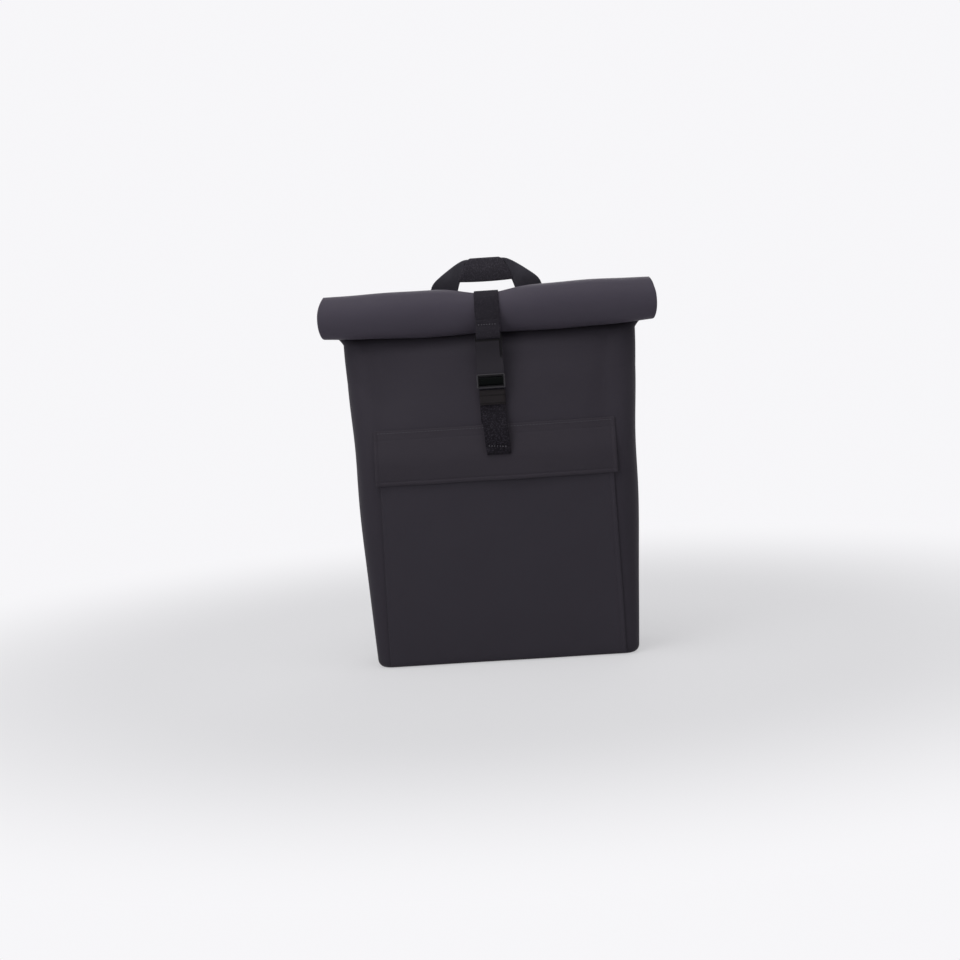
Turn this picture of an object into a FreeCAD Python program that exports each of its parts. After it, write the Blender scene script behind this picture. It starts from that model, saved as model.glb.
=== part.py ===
import FreeCAD, Part
import math
import os

V = FreeCAD.Vector
X_AXIS, Y_AXIS = V(1, 0, 0), V(0, 1, 0)

# A roll-top pannier bag in millimetres. X runs across the bag, +Y points to the rack, +Z is up.
# While it is built, Y = 0 is the outer face of the back panel and Z = 0 is the ground.

# Bag body
bag_height = 415.0
base_half_width = 169.0
top_half_width = 192.0
base_corner_radius = 19.0
seam_half_width = base_half_width - base_corner_radius
base_depth = 120.0
belly_depth = 4.0
lean_rise = 185.0
belly_height = bag_height - lean_rise
top_depth = 52.0
lean_power = 1.8
base_edge_radius = 9.0
base_seam_height = 12.0
fabric_wall = 1.6
base_wall = 1.8
body_stations = 10
cut_reach = 60.0

# Closure collar and roll
roll_half_width = 217.0
collar_height = 25.0
ply_thickness = 4.0
roll_radius = 27.0
roll_step = 2.75
roll_half_turns = 6
roll_rise = 14.0
collar_setback = 19.0
stiffener_thickness = 2.5
stiffener_clearance = 0.4

# Boards inside the bag
board_thickness = 3.0
board_seam_clearance = 10.0
board_half_width = seam_half_width - board_seam_clearance
back_board_bottom = 14.0
board_side_clearance = 14.0

# Pocket and its flap
pocket_thickness = 1.6
pocket_bottom = 3.0
flap_overhang = 4.0
flap_half_width = seam_half_width + flap_overhang
hinge_below_mouth = 114.0
flap_hinge_height = bag_height - hinge_below_mouth
flap_hem_height = 5.0
flap_hem_top = flap_hinge_height + flap_hem_height
flap_length = 63.0
flap_bottom = flap_hinge_height - flap_length
pocket_lip_drop = 19.0
pocket_top = flap_hinge_height - pocket_lip_drop
flap_thickness = 1.6
flap_gap = 0.95
fastener_half_width = 110.0
fastener_thickness = 1.1
fastener_height = 17.0
fastener_above_hem = 7.0
fastener_bottom = flap_bottom + fastener_above_hem
fastener_top = fastener_bottom + fastener_height
flap_bend_height = fastener_top + 3.0
soft_gap = 0.3

# Webbing closure
webbing_width = 30.0
webbing_thickness = 1.5
strap_foot_below_mouth = 10.0
strap_foot_height = bag_height - strap_foot_below_mouth
strap_cut_end = 22.5
strap_join = 28.9
loop_spread_start = 22.0
loop_spread_end = 32.0
loop_fold_start = 36.0
loop_end = 47.2
anchor_gap = 1.5
anchor_height = 9.5
anchor_bottom = flap_hem_top + anchor_gap
anchor_top = anchor_bottom + anchor_height
anchor_standoff = 4.5
tail_reach = 29.0
tail_tip_height = flap_hinge_height - tail_reach
tail_stand_off = 1.2
tail_lean_degrees = 4.0
tail_hem = 12.0
tail_gap = 0.3
lower_strap_overhang = 1.0

# Hook plate, frame and bar
hook_half_width = 17.2
hook_thickness = 3.0
hook_bar_height = 4.4
hook_slot_height = 3.2
hook_end = 96.4
hook_corner = 3.5
slit_width = 1.0
slit_lip = 1.6
slit_length = 23.0
frame_half_width = 18.2
frame_start = 92.9
frame_end = 111.3
frame_rail = 2.7
frame_thickness = 3.2
frame_bar_radius = 1.5
strap_bar_radius = 1.3
keeper_start = 112.6
keeper_end = 133.0
keeper_wall = 1.2

# Carry handle, which also opens the rack latches
handle_rise = 100.5
handle_top = bag_height + handle_rise
grip_width = 28.0
handle_grip_bottom = handle_top - grip_width
grip_top_half = 24.2
grip_bottom_half = 35.2
leg_kink_drop = 28.8
leg_outer_drop = 39.5
leg_inner_drop = 43.0
leg_kink = (67.0, handle_top - leg_kink_drop)
leg_outer = (71.5, handle_top - leg_outer_drop)
leg_inner = (39.5, handle_top - leg_inner_drop)
leg_spread_rise = 41.0
leg_spread_height = bag_height + leg_spread_rise
leg_taper = 10.0
leg_eye_half = 9.0
grip_thickness = 3.4
leg_thickness = 1.7
eye_wall = 1.5

# Rack hooks
hook_spacing_half = 72.0
tube_radius = 5.0
tube_clearance = 0.1
tube_y = 26.0
tube_above_mouth = 5.0
tube_z = bag_height + tube_above_mouth
hook_bore_radius = 8.0
hook_wall = 4.5
rack_hook_half = 17.0
cheek_gap = 0.5
latch_half = 10.8
rear_leg_drop = 10.5
rear_leg_end = tube_z - rear_leg_drop
insert_drop = 4.4
insert_end = tube_z - insert_drop
pivot_y = 12.5
pivot_above_tube = 14.0
pivot_z = tube_z + pivot_above_tube
pin_radius = 1.6
pin_running_clearance = 0.05
latch_arm = 14.32
latch_swing_degrees = 20.0
latch_arm_thickness = 1.5
latch_nose_reach = 27.0
latch_nose_gap = 0.4
latch_nose_height = 4.6
latch_boss = 4.0
eye_bar_radius = 1.6
eye_clearance = 0.3

# Rails on the back
rail_depth = 8.0
rail_below_mouth = 11.0
upper_rail_height = 24.0
upper_rail_top = bag_height - rail_below_mouth
upper_rail_bottom = upper_rail_top - upper_rail_height
upper_rail_half = board_half_width
lower_rail_bottom = 88.0
lower_rail_height = 22.0
lower_rail_top = lower_rail_bottom + lower_rail_height
lower_rail_inset = 30.0
lower_rail_half = board_half_width - lower_rail_inset
rail_groove = 3.0
rail_groove_depth = 4.0
screw_radius = 2.0
screw_head_radius = 4.5
screw_head_height = 2.6
washer_radius = 8.0
washer_thickness = 1.5

# Lower hook that holds the bag to the rack's strut
strut_radius = 6.0
strut_y = 27.0
lower_hook_wall = 3.5
lower_hook_half_height = 12.0
lower_hook_gap_degrees = 130.0
carriage_half_width = 14.0
carriage_thickness = 6.0
carriage_clearance = 0.15
swivel_radius = 3.0
swivel_cap = 1.6


def body_half_width(z):
    """Half width of the bag, which grows evenly from the base to the top."""
    return base_half_width + (top_half_width - base_half_width) * z / bag_height


def body_depth(z):
    """Depth of the bag: a half-sine belly low down, then a power curve that leans to the collar."""
    belly = belly_depth * math.sin(math.pi * min(z / belly_height, 1.0))
    rise = max(0.0, (z - belly_height) / (bag_height - belly_height))
    return base_depth + belly - (base_depth - top_depth) * rise ** lean_power


def edge_inset(z):
    """How far the rounded lower edge draws the wall in at height z, as a quarter circle."""
    if z >= base_edge_radius:
        return 0.0
    share = 1.0 - z / base_edge_radius
    return base_edge_radius * (1.0 - math.sqrt(1.0 - share * share))


def front(z):
    """Y of the front panel's outer face at height z, between the two front seams."""
    return edge_inset(z) - body_depth(z)


def rounded_section(z, half_width, y_front, y_back, radius):
    """Closed wire of four lines and four quarter arcs at height z."""
    bend = radius * (1.0 - math.sqrt(0.5))
    corners = [
        (half_width, y_front, -1, 1),
        (half_width, y_back, -1, -1),
        (-half_width, y_back, 1, -1),
        (-half_width, y_front, 1, 1),
    ]
    arcs = []
    for index, (x, y, inward_x, inward_y) in enumerate(corners):
        on_side = V(x, y + inward_y * radius, z)
        on_end = V(x + inward_x * radius, y, z)
        middle = V(x + inward_x * bend, y + inward_y * bend, z)
        ends = (on_end, on_side) if index % 2 == 0 else (on_side, on_end)
        arcs.append((ends[0], middle, ends[1]))
    edges = []
    for index, arc in enumerate(arcs):
        edges.append(Part.Arc(*arc).toShape())
        following = arcs[(index + 1) % len(arcs)]
        edges.append(Part.LineSegment(arc[2], following[0]).toShape())
    return Part.Wire(edges)


def body_section(z, inward=0.0):
    """Cross section of the bag at height z, drawn in by the wall."""
    inset = edge_inset(z) + inward
    depth = body_depth(z)
    radius = min(body_half_width(z) - seam_half_width, depth / 2 - 1.0) - edge_inset(z)
    return rounded_section(z, body_half_width(z) - inset, inset - depth, -inset, radius - inward)


def body_heights(bottom):
    """Heights of the sections: three round the lower edge, then evenly up to the top."""
    heights = [bottom, bottom + (base_edge_radius - bottom) * 0.35, base_edge_radius]
    for index in range(1, body_stations):
        heights.append(base_edge_radius + (bag_height - base_edge_radius) * index / (body_stations - 1))
    return heights


def prism_yz(points, x_low, x_high):
    """Solid between two X values with a polygon outline in Y and Z."""
    corners = [V(x_low, y, z) for y, z in points]
    face = Part.Face(Part.makePolygon(corners + corners[:1]))
    return face.extrude(V(x_high - x_low, 0, 0))


def prism_xz(points, y_low, y_high):
    """Solid between two Y values with a polygon outline in X and Z."""
    corners = [V(x, y_low, z) for x, z in points]
    face = Part.Face(Part.makePolygon(corners + corners[:1]))
    return face.extrude(V(0, y_high - y_low, 0))


def block(x_low, x_high, y_low, y_high, z_low, z_high):
    return Part.makeBox(x_high - x_low, y_high - y_low, z_high - z_low, V(x_low, y_low, z_low))


def rod_x(y, z, radius, x_low, x_high):
    return Part.makeCylinder(radius, x_high - x_low, V(x_low, y, z), X_AXIS)


def front_layer(inner, outer, half_width, bottom, top):
    """Layer that follows the front panel between two offsets from it."""
    heights = [bottom]
    heights += [z for z in body_heights(0.0) if bottom < z < top]
    heights.append(top)
    outline = [(front(z) - inner, z) for z in heights]
    outline += [(front(z) - outer, z) for z in reversed(heights)]
    return prism_yz(outline, -half_width, half_width)


def side_points(points, offset):
    """Polyline moved sideways by offset, with mitred corners."""
    directions = []
    for start, end in zip(points, points[1:]):
        length = math.hypot(end[0] - start[0], end[1] - start[1])
        directions.append(((end[0] - start[0]) / length, (end[1] - start[1]) / length))
    moved = []
    for index, (y, z) in enumerate(points):
        before = directions[max(index - 1, 0)]
        after = directions[min(index, len(directions) - 1)]
        normal = (-(before[1] + after[1]), before[0] + after[0])
        scale = offset / (1.0 + before[0] * after[0] + before[1] * after[1])
        moved.append((y + normal[0] * scale, z + normal[1] * scale))
    return moved


def turn_side(points, index):
    """Plus one where the polyline turns left at a point, and minus one where it turns right."""
    (y0, z0), (y1, z1), (y2, z2) = points[index - 1:index + 2]
    return math.copysign(1.0, (y1 - y0) * (z2 - z1) - (z1 - z0) * (y2 - y1))


def filleted_edges(points, radii):
    """Lines and tangent arcs along a polyline; a radius belongs to each inner point."""
    edges = []
    at = V(0, *points[0])
    for index, radius in enumerate(radii, start=1):
        corner = V(0, *points[index])
        back = (V(0, *points[index - 1]) - corner).normalize()
        ahead = (V(0, *points[index + 1]) - corner).normalize()
        half = back.getAngle(ahead) / 2
        reach = radius / math.tan(half)
        first, last = corner + back * reach, corner + ahead * reach
        middle = corner + (back + ahead).normalize() * (radius / math.sin(half) - radius)
        if (first - at).Length > 1e-6:
            edges.append(Part.LineSegment(at, first).toShape())
        edges.append(Part.Arc(first, middle, last).toShape())
        at = last
    end = V(0, *points[-1])
    if (end - at).Length > 1e-6:
        edges.append(Part.LineSegment(at, end).toShape())
    return edges


def webbing_band(points, radii, thickness, width):
    """Flat band of webbing whose centre line is a polyline with rounded corners."""
    left = side_points(points, thickness / 2)
    right = side_points(points, -thickness / 2)
    left_radii, right_radii = [], []
    for index, radius in enumerate(radii, start=1):
        side = turn_side(points, index)
        left_radii.append(radius - side * thickness / 2)
        right_radii.append(radius + side * thickness / 2)
    edges = filleted_edges(left, left_radii)
    edges.append(Part.LineSegment(V(0, *left[-1]), V(0, *right[-1])).toShape())
    edges += filleted_edges(right[::-1], right_radii[::-1])
    edges.append(Part.LineSegment(V(0, *right[0]), V(0, *left[0])).toShape())
    band = Part.Face(Part.Wire(Part.sortEdges(edges)[0])).extrude(V(width, 0, 0))
    band.translate(V(-width / 2, 0, 0))
    return band


roll_y = -collar_setback - roll_radius
roll_z = bag_height + collar_height + roll_rise


def make_body_panels():
    outer = Part.makeLoft([body_section(z) for z in body_heights(0.0)], True, True)
    inner = Part.makeLoft([body_section(z, fabric_wall) for z in body_heights(base_wall)], True, True)
    shell = outer.cut(inner)
    reach = top_half_width + base_depth
    split = -top_depth / 2
    middle = (-seam_half_width, seam_half_width)
    parts = {
        "base_panel": block(-reach, reach, -reach, reach, 0, base_seam_height),
        "front_panel": block(*middle, -reach, split, base_seam_height, bag_height),
        "back_panel": block(*middle, split, reach, base_seam_height, bag_height),
        "side_gusset_left": block(-reach, -seam_half_width, -reach, reach, base_seam_height, bag_height),
        "side_gusset_right": block(seam_half_width, reach, -reach, reach, base_seam_height, bag_height),
    }
    return {name: shell.common(cutter) for name, cutter in parts.items()}


def make_closure_collar():
    """The collar gathers from the bag's mouth to the flat double ply that is rolled."""
    top = bag_height + collar_height
    front_y = -collar_setback - ply_thickness / 2
    back_y = -collar_setback + ply_thickness / 2
    tip = rounded_section(top, roll_half_width, front_y, back_y, ply_thickness / 2 - 0.1)
    outer = Part.makeLoft([body_section(bag_height), tip], True, True)
    inner_top = top - ply_thickness
    inner_tip = rounded_section(
        inner_top, roll_half_width - ply_thickness, front_y + fabric_wall, back_y - fabric_wall, 0.3)
    inner = Part.makeLoft([body_section(bag_height, fabric_wall), inner_tip], True, True)
    return outer.cut(inner)


def roll_edges(offset):
    """One side of the rolled ply: a straight rise, then half-turn arcs about two centres."""
    back_y = roll_y + roll_radius + offset
    bottom = V(0, back_y, bag_height + collar_height)
    edges = [Part.LineSegment(bottom, V(0, back_y, roll_z)).toShape()]
    for turn in range(roll_half_turns):
        radius = roll_radius - turn * roll_step + offset
        centre = roll_y - (roll_step if turn % 2 else 0.0)
        side = -1 if turn % 2 else 1
        points = [V(0, centre + side * radius, roll_z)]
        points.append(V(0, centre, roll_z + side * radius))
        points.append(V(0, centre - side * radius, roll_z))
        edges.append(Part.Arc(*points).toShape())
    return edges, bottom, points[-1]


def make_roll_top():
    outer, outer_start, outer_end = roll_edges(ply_thickness / 2)
    inner, inner_start, inner_end = roll_edges(-ply_thickness / 2)
    caps = [Part.LineSegment(outer_end, inner_end).toShape()]
    caps.append(Part.LineSegment(inner_start, outer_start).toShape())
    wire = Part.Wire(Part.sortEdges(outer + inner + caps)[0])
    roll = Part.Face(wire).extrude(V(2 * roll_half_width, 0, 0))
    roll.translate(V(-roll_half_width, 0, 0))
    return roll


def make_mouth_stiffener():
    """Flat strip in the mouth's edge, which lies in the middle of the roll."""
    last = roll_radius - (roll_half_turns - 1) * roll_step - ply_thickness / 2
    above = last + roll_step - stiffener_clearance
    below = last - stiffener_clearance
    return block(-roll_half_width + ply_thickness, roll_half_width - ply_thickness,
                 roll_y - roll_step - stiffener_thickness / 2, roll_y - roll_step + stiffener_thickness / 2,
                 roll_z - below, roll_z + above - stiffener_clearance)


def screw_places():
    """X and Z of the screws that hold each rail to the back board."""
    upper_z = (upper_rail_bottom + upper_rail_top) / 2
    lower_z = (lower_rail_bottom + lower_rail_top) / 2
    upper_x = upper_rail_half - 12.0
    lower_x = lower_rail_half - 10.0
    inner_x = hook_spacing_half / 3
    return [(-upper_x, upper_z), (-inner_x, upper_z), (inner_x, upper_z), (upper_x, upper_z),
            (-lower_x, lower_z), (lower_x, lower_z)]


def screw_holes():
    length = rail_depth + fabric_wall + board_thickness + washer_thickness + 8.0
    start = -(fabric_wall + board_thickness + washer_thickness + 4.0)
    holes = [Part.makeCylinder(screw_radius, length, V(x, start, z), Y_AXIS) for x, z in screw_places()]
    return Part.makeCompound(holes)


def make_back_board():
    return block(-board_half_width, board_half_width, -fabric_wall - board_thickness, -fabric_wall,
                 back_board_bottom, bag_height - 6.0)


def make_base_board():
    half = base_half_width - base_edge_radius - board_side_clearance / 2
    return block(-half, half, -base_depth + board_side_clearance, -board_side_clearance,
                 base_wall, base_wall + board_thickness)


def make_pocket_panel():
    return front_layer(0.0, pocket_thickness, seam_half_width, pocket_bottom, pocket_top)


def flap_line():
    """Centre line of the flap from its sewn edge, over the pocket's lip, to its free edge."""
    half = flap_thickness / 2
    lip = pocket_top + 3.0
    low = pocket_thickness + 2 * fastener_thickness + 3 * soft_gap + half
    return [(front(flap_hem_top) - half, flap_hem_top),
            (front(flap_hinge_height) - half, flap_hinge_height),
            (front(lip) - pocket_thickness - soft_gap - half - 0.9, lip),
            (front(flap_bend_height) - low, flap_bend_height),
            (front(flap_bottom) - low, flap_bottom)]


def shortened(start, end, gap):
    length = math.hypot(end[0] - start[0], end[1] - start[1])
    return (start[0] + (end[0] - start[0]) * gap / length, start[1] + (end[1] - start[1]) * gap / length)


def make_flap_parts():
    line = flap_line()
    hem = webbing_band(line[:2], [], flap_thickness, 2 * flap_half_width)
    start = shortened(line[1], line[2], flap_gap)
    flap = webbing_band([start] + line[2:], [6.0, 20.0], flap_thickness, 2 * flap_half_width)
    near = pocket_thickness
    loop = front_layer(near, near + fastener_thickness, fastener_half_width, fastener_bottom, fastener_top)
    far = near + fastener_thickness + soft_gap
    hook = front_layer(far, far + fastener_thickness, fastener_half_width, fastener_bottom, fastener_top)
    return hem, flap, loop, hook


def closure_angle():
    """Lean of the closure line that touches the roll and meets the front panel at the anchor."""
    radius = roll_radius + ply_thickness / 2 + soft_gap + webbing_thickness / 2
    dy = front(anchor_top) - anchor_standoff - roll_y
    dz = anchor_top - roll_z
    return math.atan2(dz, -dy) + math.acos(radius / math.hypot(dy, dz)), radius


lean, strap_radius = closure_angle()
closure_start = (roll_y - strap_radius * math.cos(lean), roll_z + strap_radius * math.sin(lean))


def on_closure(along, out):
    """Y and Z of a point on the closure: a distance down along it and one out of the bag."""
    return (closure_start[0] - math.sin(lean) * along - math.cos(lean) * out,
            closure_start[1] - math.cos(lean) * along + math.sin(lean) * out)


def place_on_closure(shape):
    """Turn a shape drawn with X across, -Z along the closure and -Y out of the bag into place."""
    shape.rotate(V(0, 0, 0), X_AXIS, -math.degrees(lean))
    shape.translate(V(0, closure_start[0], closure_start[1]))
    return shape


hook_middle = 3.0
loop_radius = hook_thickness / 2 + soft_gap + webbing_thickness / 2
loop_centre = loop_end - loop_radius - webbing_thickness / 2
back_layer = hook_middle - loop_radius
front_layer_out = hook_middle + loop_radius
hook_bar_end = loop_centre + 0.9
bar_along = (frame_start + frame_end) / 2
strap_loop_radius = strap_bar_radius + soft_gap + webbing_thickness / 2


def make_closure_strap():
    """Webbing from the back panel, over the roll, folded round the hook's top bar and sewn."""
    half = webbing_thickness / 2
    back_y = -collar_setback + ply_thickness / 2 + soft_gap + half
    top_z = roll_z + strap_radius
    corner = (roll_y - strap_radius * math.tan((math.pi / 2 - lean) / 2), top_z)
    points = [(half, strap_foot_height), (half, bag_height + 2.0), (back_y, bag_height + collar_height + 3.0),
              (back_y, top_z), corner,
              on_closure(loop_spread_start, 0.0), on_closure(loop_spread_end, back_layer),
              on_closure(loop_centre + loop_radius, back_layer),
              on_closure(loop_centre + loop_radius, front_layer_out),
              on_closure(loop_fold_start, front_layer_out), on_closure(strap_join, webbing_thickness + 0.4),
              on_closure(strap_cut_end, webbing_thickness + 0.05)]
    radii = [3.0, 8.0, strap_radius, strap_radius, 6.0, 6.0, loop_radius, loop_radius, 3.0, 4.0]
    return webbing_band(points, radii, webbing_thickness, webbing_width)


def make_closure_hook():
    """Flat hook with a slot and side slit for the loop, made in one with the frame below it."""
    top = hook_bar_end - hook_bar_height
    y_front = -hook_middle - hook_thickness / 2
    plate = block(-hook_half_width, hook_half_width, y_front, y_front + hook_thickness, -hook_end, -top)
    corners = [edge for edge in plate.Edges
               if abs(edge.Vertexes[0].Z + top) < 1e-6 and abs(edge.Vertexes[-1].Z + top) < 1e-6
               and abs(edge.Vertexes[0].X - edge.Vertexes[-1].X) < 1e-6]
    plate = plate.makeFillet(hook_corner, corners)
    slot_half = hook_half_width - slit_lip
    slot = block(-slot_half, slot_half, -cut_reach, cut_reach, -hook_bar_end - hook_slot_height, -hook_bar_end)
    slit_bottom = hook_bar_end + hook_slot_height + slit_length
    slit = block(slot_half - slit_width, slot_half, -cut_reach, cut_reach, -slit_bottom, -hook_bar_end)
    gate = block(slot_half - slit_width, hook_half_width + 1, -cut_reach, cut_reach,
                 -slit_bottom, -slit_bottom + slit_width)
    plate = plate.cut(slot).cut(slit).cut(gate)
    layer_out = strap_loop_radius + webbing_thickness / 2
    near = -layer_out - soft_gap
    rim = block(-frame_half_width, frame_half_width, near - frame_thickness, near, -frame_end, -frame_start)
    outer_edges = [edge for edge in rim.Edges if abs(edge.Vertexes[0].Z - edge.Vertexes[-1].Z) < 1e-6
                   and abs(edge.Vertexes[0].X - edge.Vertexes[-1].X) < 1e-6]
    rim = rim.makeFillet(2.0, outer_edges)
    front_edges = [edge for edge in rim.Edges
                   if all(abs(v.Y - near + frame_thickness) < 1e-6 for v in edge.Vertexes)]
    rim = rim.makeChamfer(0.7, front_edges)
    window_half = webbing_width / 2 + soft_gap + 0.2
    window_rail = frame_rail + 0.6
    window = block(-window_half, window_half, -cut_reach, cut_reach,
                   -frame_end + window_rail, -frame_start - window_rail)
    front_bar = rod_x(near - frame_thickness / 2, -bar_along, frame_bar_radius, -window_half - 1, window_half + 1)
    cheeks = []
    for side in (-1, 1):
        low, high = sorted((side * window_half, side * frame_half_width))
        cheeks.append(block(low, high, near - 1.0, strap_bar_radius + 1.2, -bar_along - 3.2, -bar_along + 3.2))
    hook = plate.fuse([rim.cut(window), front_bar] + cheeks).removeSplitter()
    hook = hook.cut(rod_x(0, -bar_along, strap_bar_radius, -cut_reach, cut_reach))
    return place_on_closure(hook)


def make_strap_bar():
    return place_on_closure(rod_x(0, -bar_along, strap_bar_radius, -frame_half_width, frame_half_width))


def make_lower_strap():
    """Webbing sewn to the front panel, up behind the frame, over its bar and down through the keeper."""
    half = webbing_thickness / 2
    reach = strap_loop_radius
    points = [(front(anchor_bottom) - half - 0.05, anchor_bottom), (front(anchor_top) - half - 0.6, anchor_top),
              on_closure(keeper_end - 1.0, -reach), on_closure(bar_along - reach, -reach),
              on_closure(bar_along - reach, reach), on_closure(keeper_end + lower_strap_overhang, reach)]
    return webbing_band(points, [8.0, 5.0, reach, reach], webbing_thickness, webbing_width)


def make_strap_keeper():
    inner = strap_loop_radius + webbing_thickness / 2 + soft_gap
    half = webbing_width / 2 + soft_gap
    keeper = block(-half - keeper_wall, half + keeper_wall, -inner - keeper_wall, inner + keeper_wall,
                   -keeper_end, -keeper_start)
    return place_on_closure(keeper.cut(block(-half, half, -inner, inner, -keeper_end - 1, -keeper_start + 1)))


tail_start = keeper_end + lower_strap_overhang + tail_gap
tail_pivot = on_closure(tail_start - tail_gap / 2, strap_loop_radius + webbing_thickness / 2)


def make_strap_tail():
    """Free end of the webbing, which hangs over the flap and ends in a folded hem."""
    half = webbing_thickness / 2
    outer = flap_line()[3]
    lip = flap_line()[2]
    clear = flap_thickness / 2 + tail_stand_off + half
    share = (lip[1] - tail_tip_height) / (lip[1] - outer[1])
    tip_y = lip[0] + (outer[0] - lip[0]) * share - clear - 1.5
    tip = (tip_y, tail_tip_height)
    start = on_closure(tail_start, strap_loop_radius)
    begin = shortened(start, tip, -2 * webbing_thickness)
    tail = webbing_band([begin, tip], [], webbing_thickness, webbing_width)
    fold = shortened(tip, begin, tail_hem)
    length = math.hypot(tip[0] - begin[0], tip[1] - begin[1])
    normal = ((tip[1] - begin[1]) / length, -(tip[0] - begin[0]) / length)
    hem = [(fold[0] + normal[0] * webbing_thickness, fold[1] + normal[1] * webbing_thickness),
           (tip[0] + normal[0] * webbing_thickness, tip[1] + normal[1] * webbing_thickness)]
    tail = tail.fuse(webbing_band(hem, [], webbing_thickness, webbing_width)).removeSplitter()
    tail.rotate(V(0, start[0], start[1]), Y_AXIS, -tail_lean_degrees)
    above_start = block(-cut_reach, cut_reach, -cut_reach, cut_reach, -tail_start, cut_reach)
    return tail.cut(place_on_closure(above_start))


swing = math.radians(latch_swing_degrees)
eye_y = pivot_y - latch_arm * math.cos(swing / 2)
eye_z = pivot_z - latch_arm * math.sin(swing / 2)


def make_handle_grip():
    outline = [(-grip_bottom_half, handle_grip_bottom), (grip_bottom_half, handle_grip_bottom),
               (grip_top_half, handle_top), (-grip_top_half, handle_top)]
    return prism_xz(outline, eye_y - grip_thickness / 2, eye_y + grip_thickness / 2)


def make_handle_leg(side):
    """Leg of folded webbing that flares from the grip down to the eye round its latch's bar."""
    neck_z = eye_z + eye_bar_radius + eye_clearance + eye_wall / 2
    centre = hook_spacing_half
    outline = [(grip_top_half, handle_top), leg_kink, leg_outer,
               (centre + webbing_width / 2, leg_spread_height),
               (centre + leg_eye_half, leg_spread_height - leg_taper), (centre + leg_eye_half, neck_z),
               (centre - leg_eye_half, neck_z), (centre - leg_eye_half, leg_spread_height - leg_taper),
               (centre - webbing_width / 2, leg_spread_height), leg_inner,
               (grip_bottom_half, handle_grip_bottom)]
    outline = [(side * x, z) for x, z in outline]
    leg = prism_xz(outline, eye_y - leg_thickness / 2, eye_y + leg_thickness / 2)
    inner = eye_bar_radius + eye_clearance
    low, high = sorted((side * (centre - leg_eye_half), side * (centre + leg_eye_half)))
    eye = rod_x(eye_y, eye_z, inner + eye_wall, low, high)
    leg = leg.fuse(eye).cut(rod_x(eye_y, eye_z, inner, low - 1, high + 1))
    return leg.removeSplitter()


def ring_yz(outer_radius, inner_radius, x_low, x_high):
    ring = rod_x(tube_y, tube_z, outer_radius, x_low, x_high)
    return ring.cut(rod_x(tube_y, tube_z, inner_radius, x_low - 1, x_high + 1))


def make_rack_hook(side):
    """Hook over the rack's tube: an arch with a rear leg, and cheeks that carry the latch's pin."""
    outer = hook_bore_radius + hook_wall
    low, high = -rack_hook_half, rack_hook_half
    arch = ring_yz(outer, hook_bore_radius, low, high)
    arch = arch.cut(block(low - 1, high + 1, -cut_reach, cut_reach, tube_z - cut_reach, tube_z))
    rear_leg = block(low, high, tube_y + hook_bore_radius, tube_y + outer, rear_leg_end, tube_z)
    foot = [edge for edge in rear_leg.Edges if abs(edge.Vertexes[0].Z - rear_leg_end) < 1e-6
            and abs(edge.Vertexes[-1].Z - rear_leg_end) < 1e-6
            and abs(edge.Vertexes[0].X - edge.Vertexes[-1].X) > 1]
    rear_leg = rear_leg.makeFillet(2.0, foot)
    cheek_top = pivot_z
    wing = block(low, high, rail_depth, tube_y - hook_bore_radius, upper_rail_bottom, tube_z)
    neck = block(low, high, rail_depth, pivot_y + latch_boss, tube_z, cheek_top)
    knuckle = rod_x(pivot_y, pivot_z, latch_boss + 0.5, low, high)
    flare = prism_yz([(pivot_y, tube_z), (tube_y - 4.0, tube_z), (tube_y - 4.0, tube_z + outer - 0.8),
                      (pivot_y, cheek_top)], low, high)
    bore = rod_x(tube_y, tube_z, hook_bore_radius, low - 1, high + 1)
    hook = arch.fuse([rear_leg, wing, neck, knuckle, flare.cut(bore)]).removeSplitter()
    gap_half = latch_half + cheek_gap
    latch_room = block(-gap_half, gap_half, rail_depth - 1, tube_y - hook_bore_radius,
                       upper_rail_top + 3.0, pivot_z + cut_reach)
    hook = hook.cut(latch_room).cut(rod_x(pivot_y, pivot_z, pin_radius, low - 1, high + 1))
    room_above = block(-gap_half, gap_half, rail_depth - 1, pivot_y + latch_boss + 1.5,
                       tube_z, pivot_z + cut_reach)
    hook = hook.cut(room_above)
    hook.translate(V(side * hook_spacing_half, 0, 0))
    return hook


def make_tube_insert(side):
    """Saddle that fills the hook's bore down to the rack's tube, open below."""
    inner, outer = tube_radius + tube_clearance, hook_bore_radius
    low, high = -rack_hook_half, rack_hook_half
    below = block(low - 1, high + 1, -cut_reach, cut_reach, tube_z - cut_reach, tube_z)
    ring = ring_yz(outer, inner, low, high).cut(below)
    legs = [block(low, high, tube_y - outer, tube_y - inner, insert_end, tube_z),
            block(low, high, tube_y + inner, tube_y + outer, insert_end, tube_z)]
    insert = ring.fuse(legs).removeSplitter()
    insert.translate(V(side * hook_spacing_half, 0, 0))
    return insert


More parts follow.
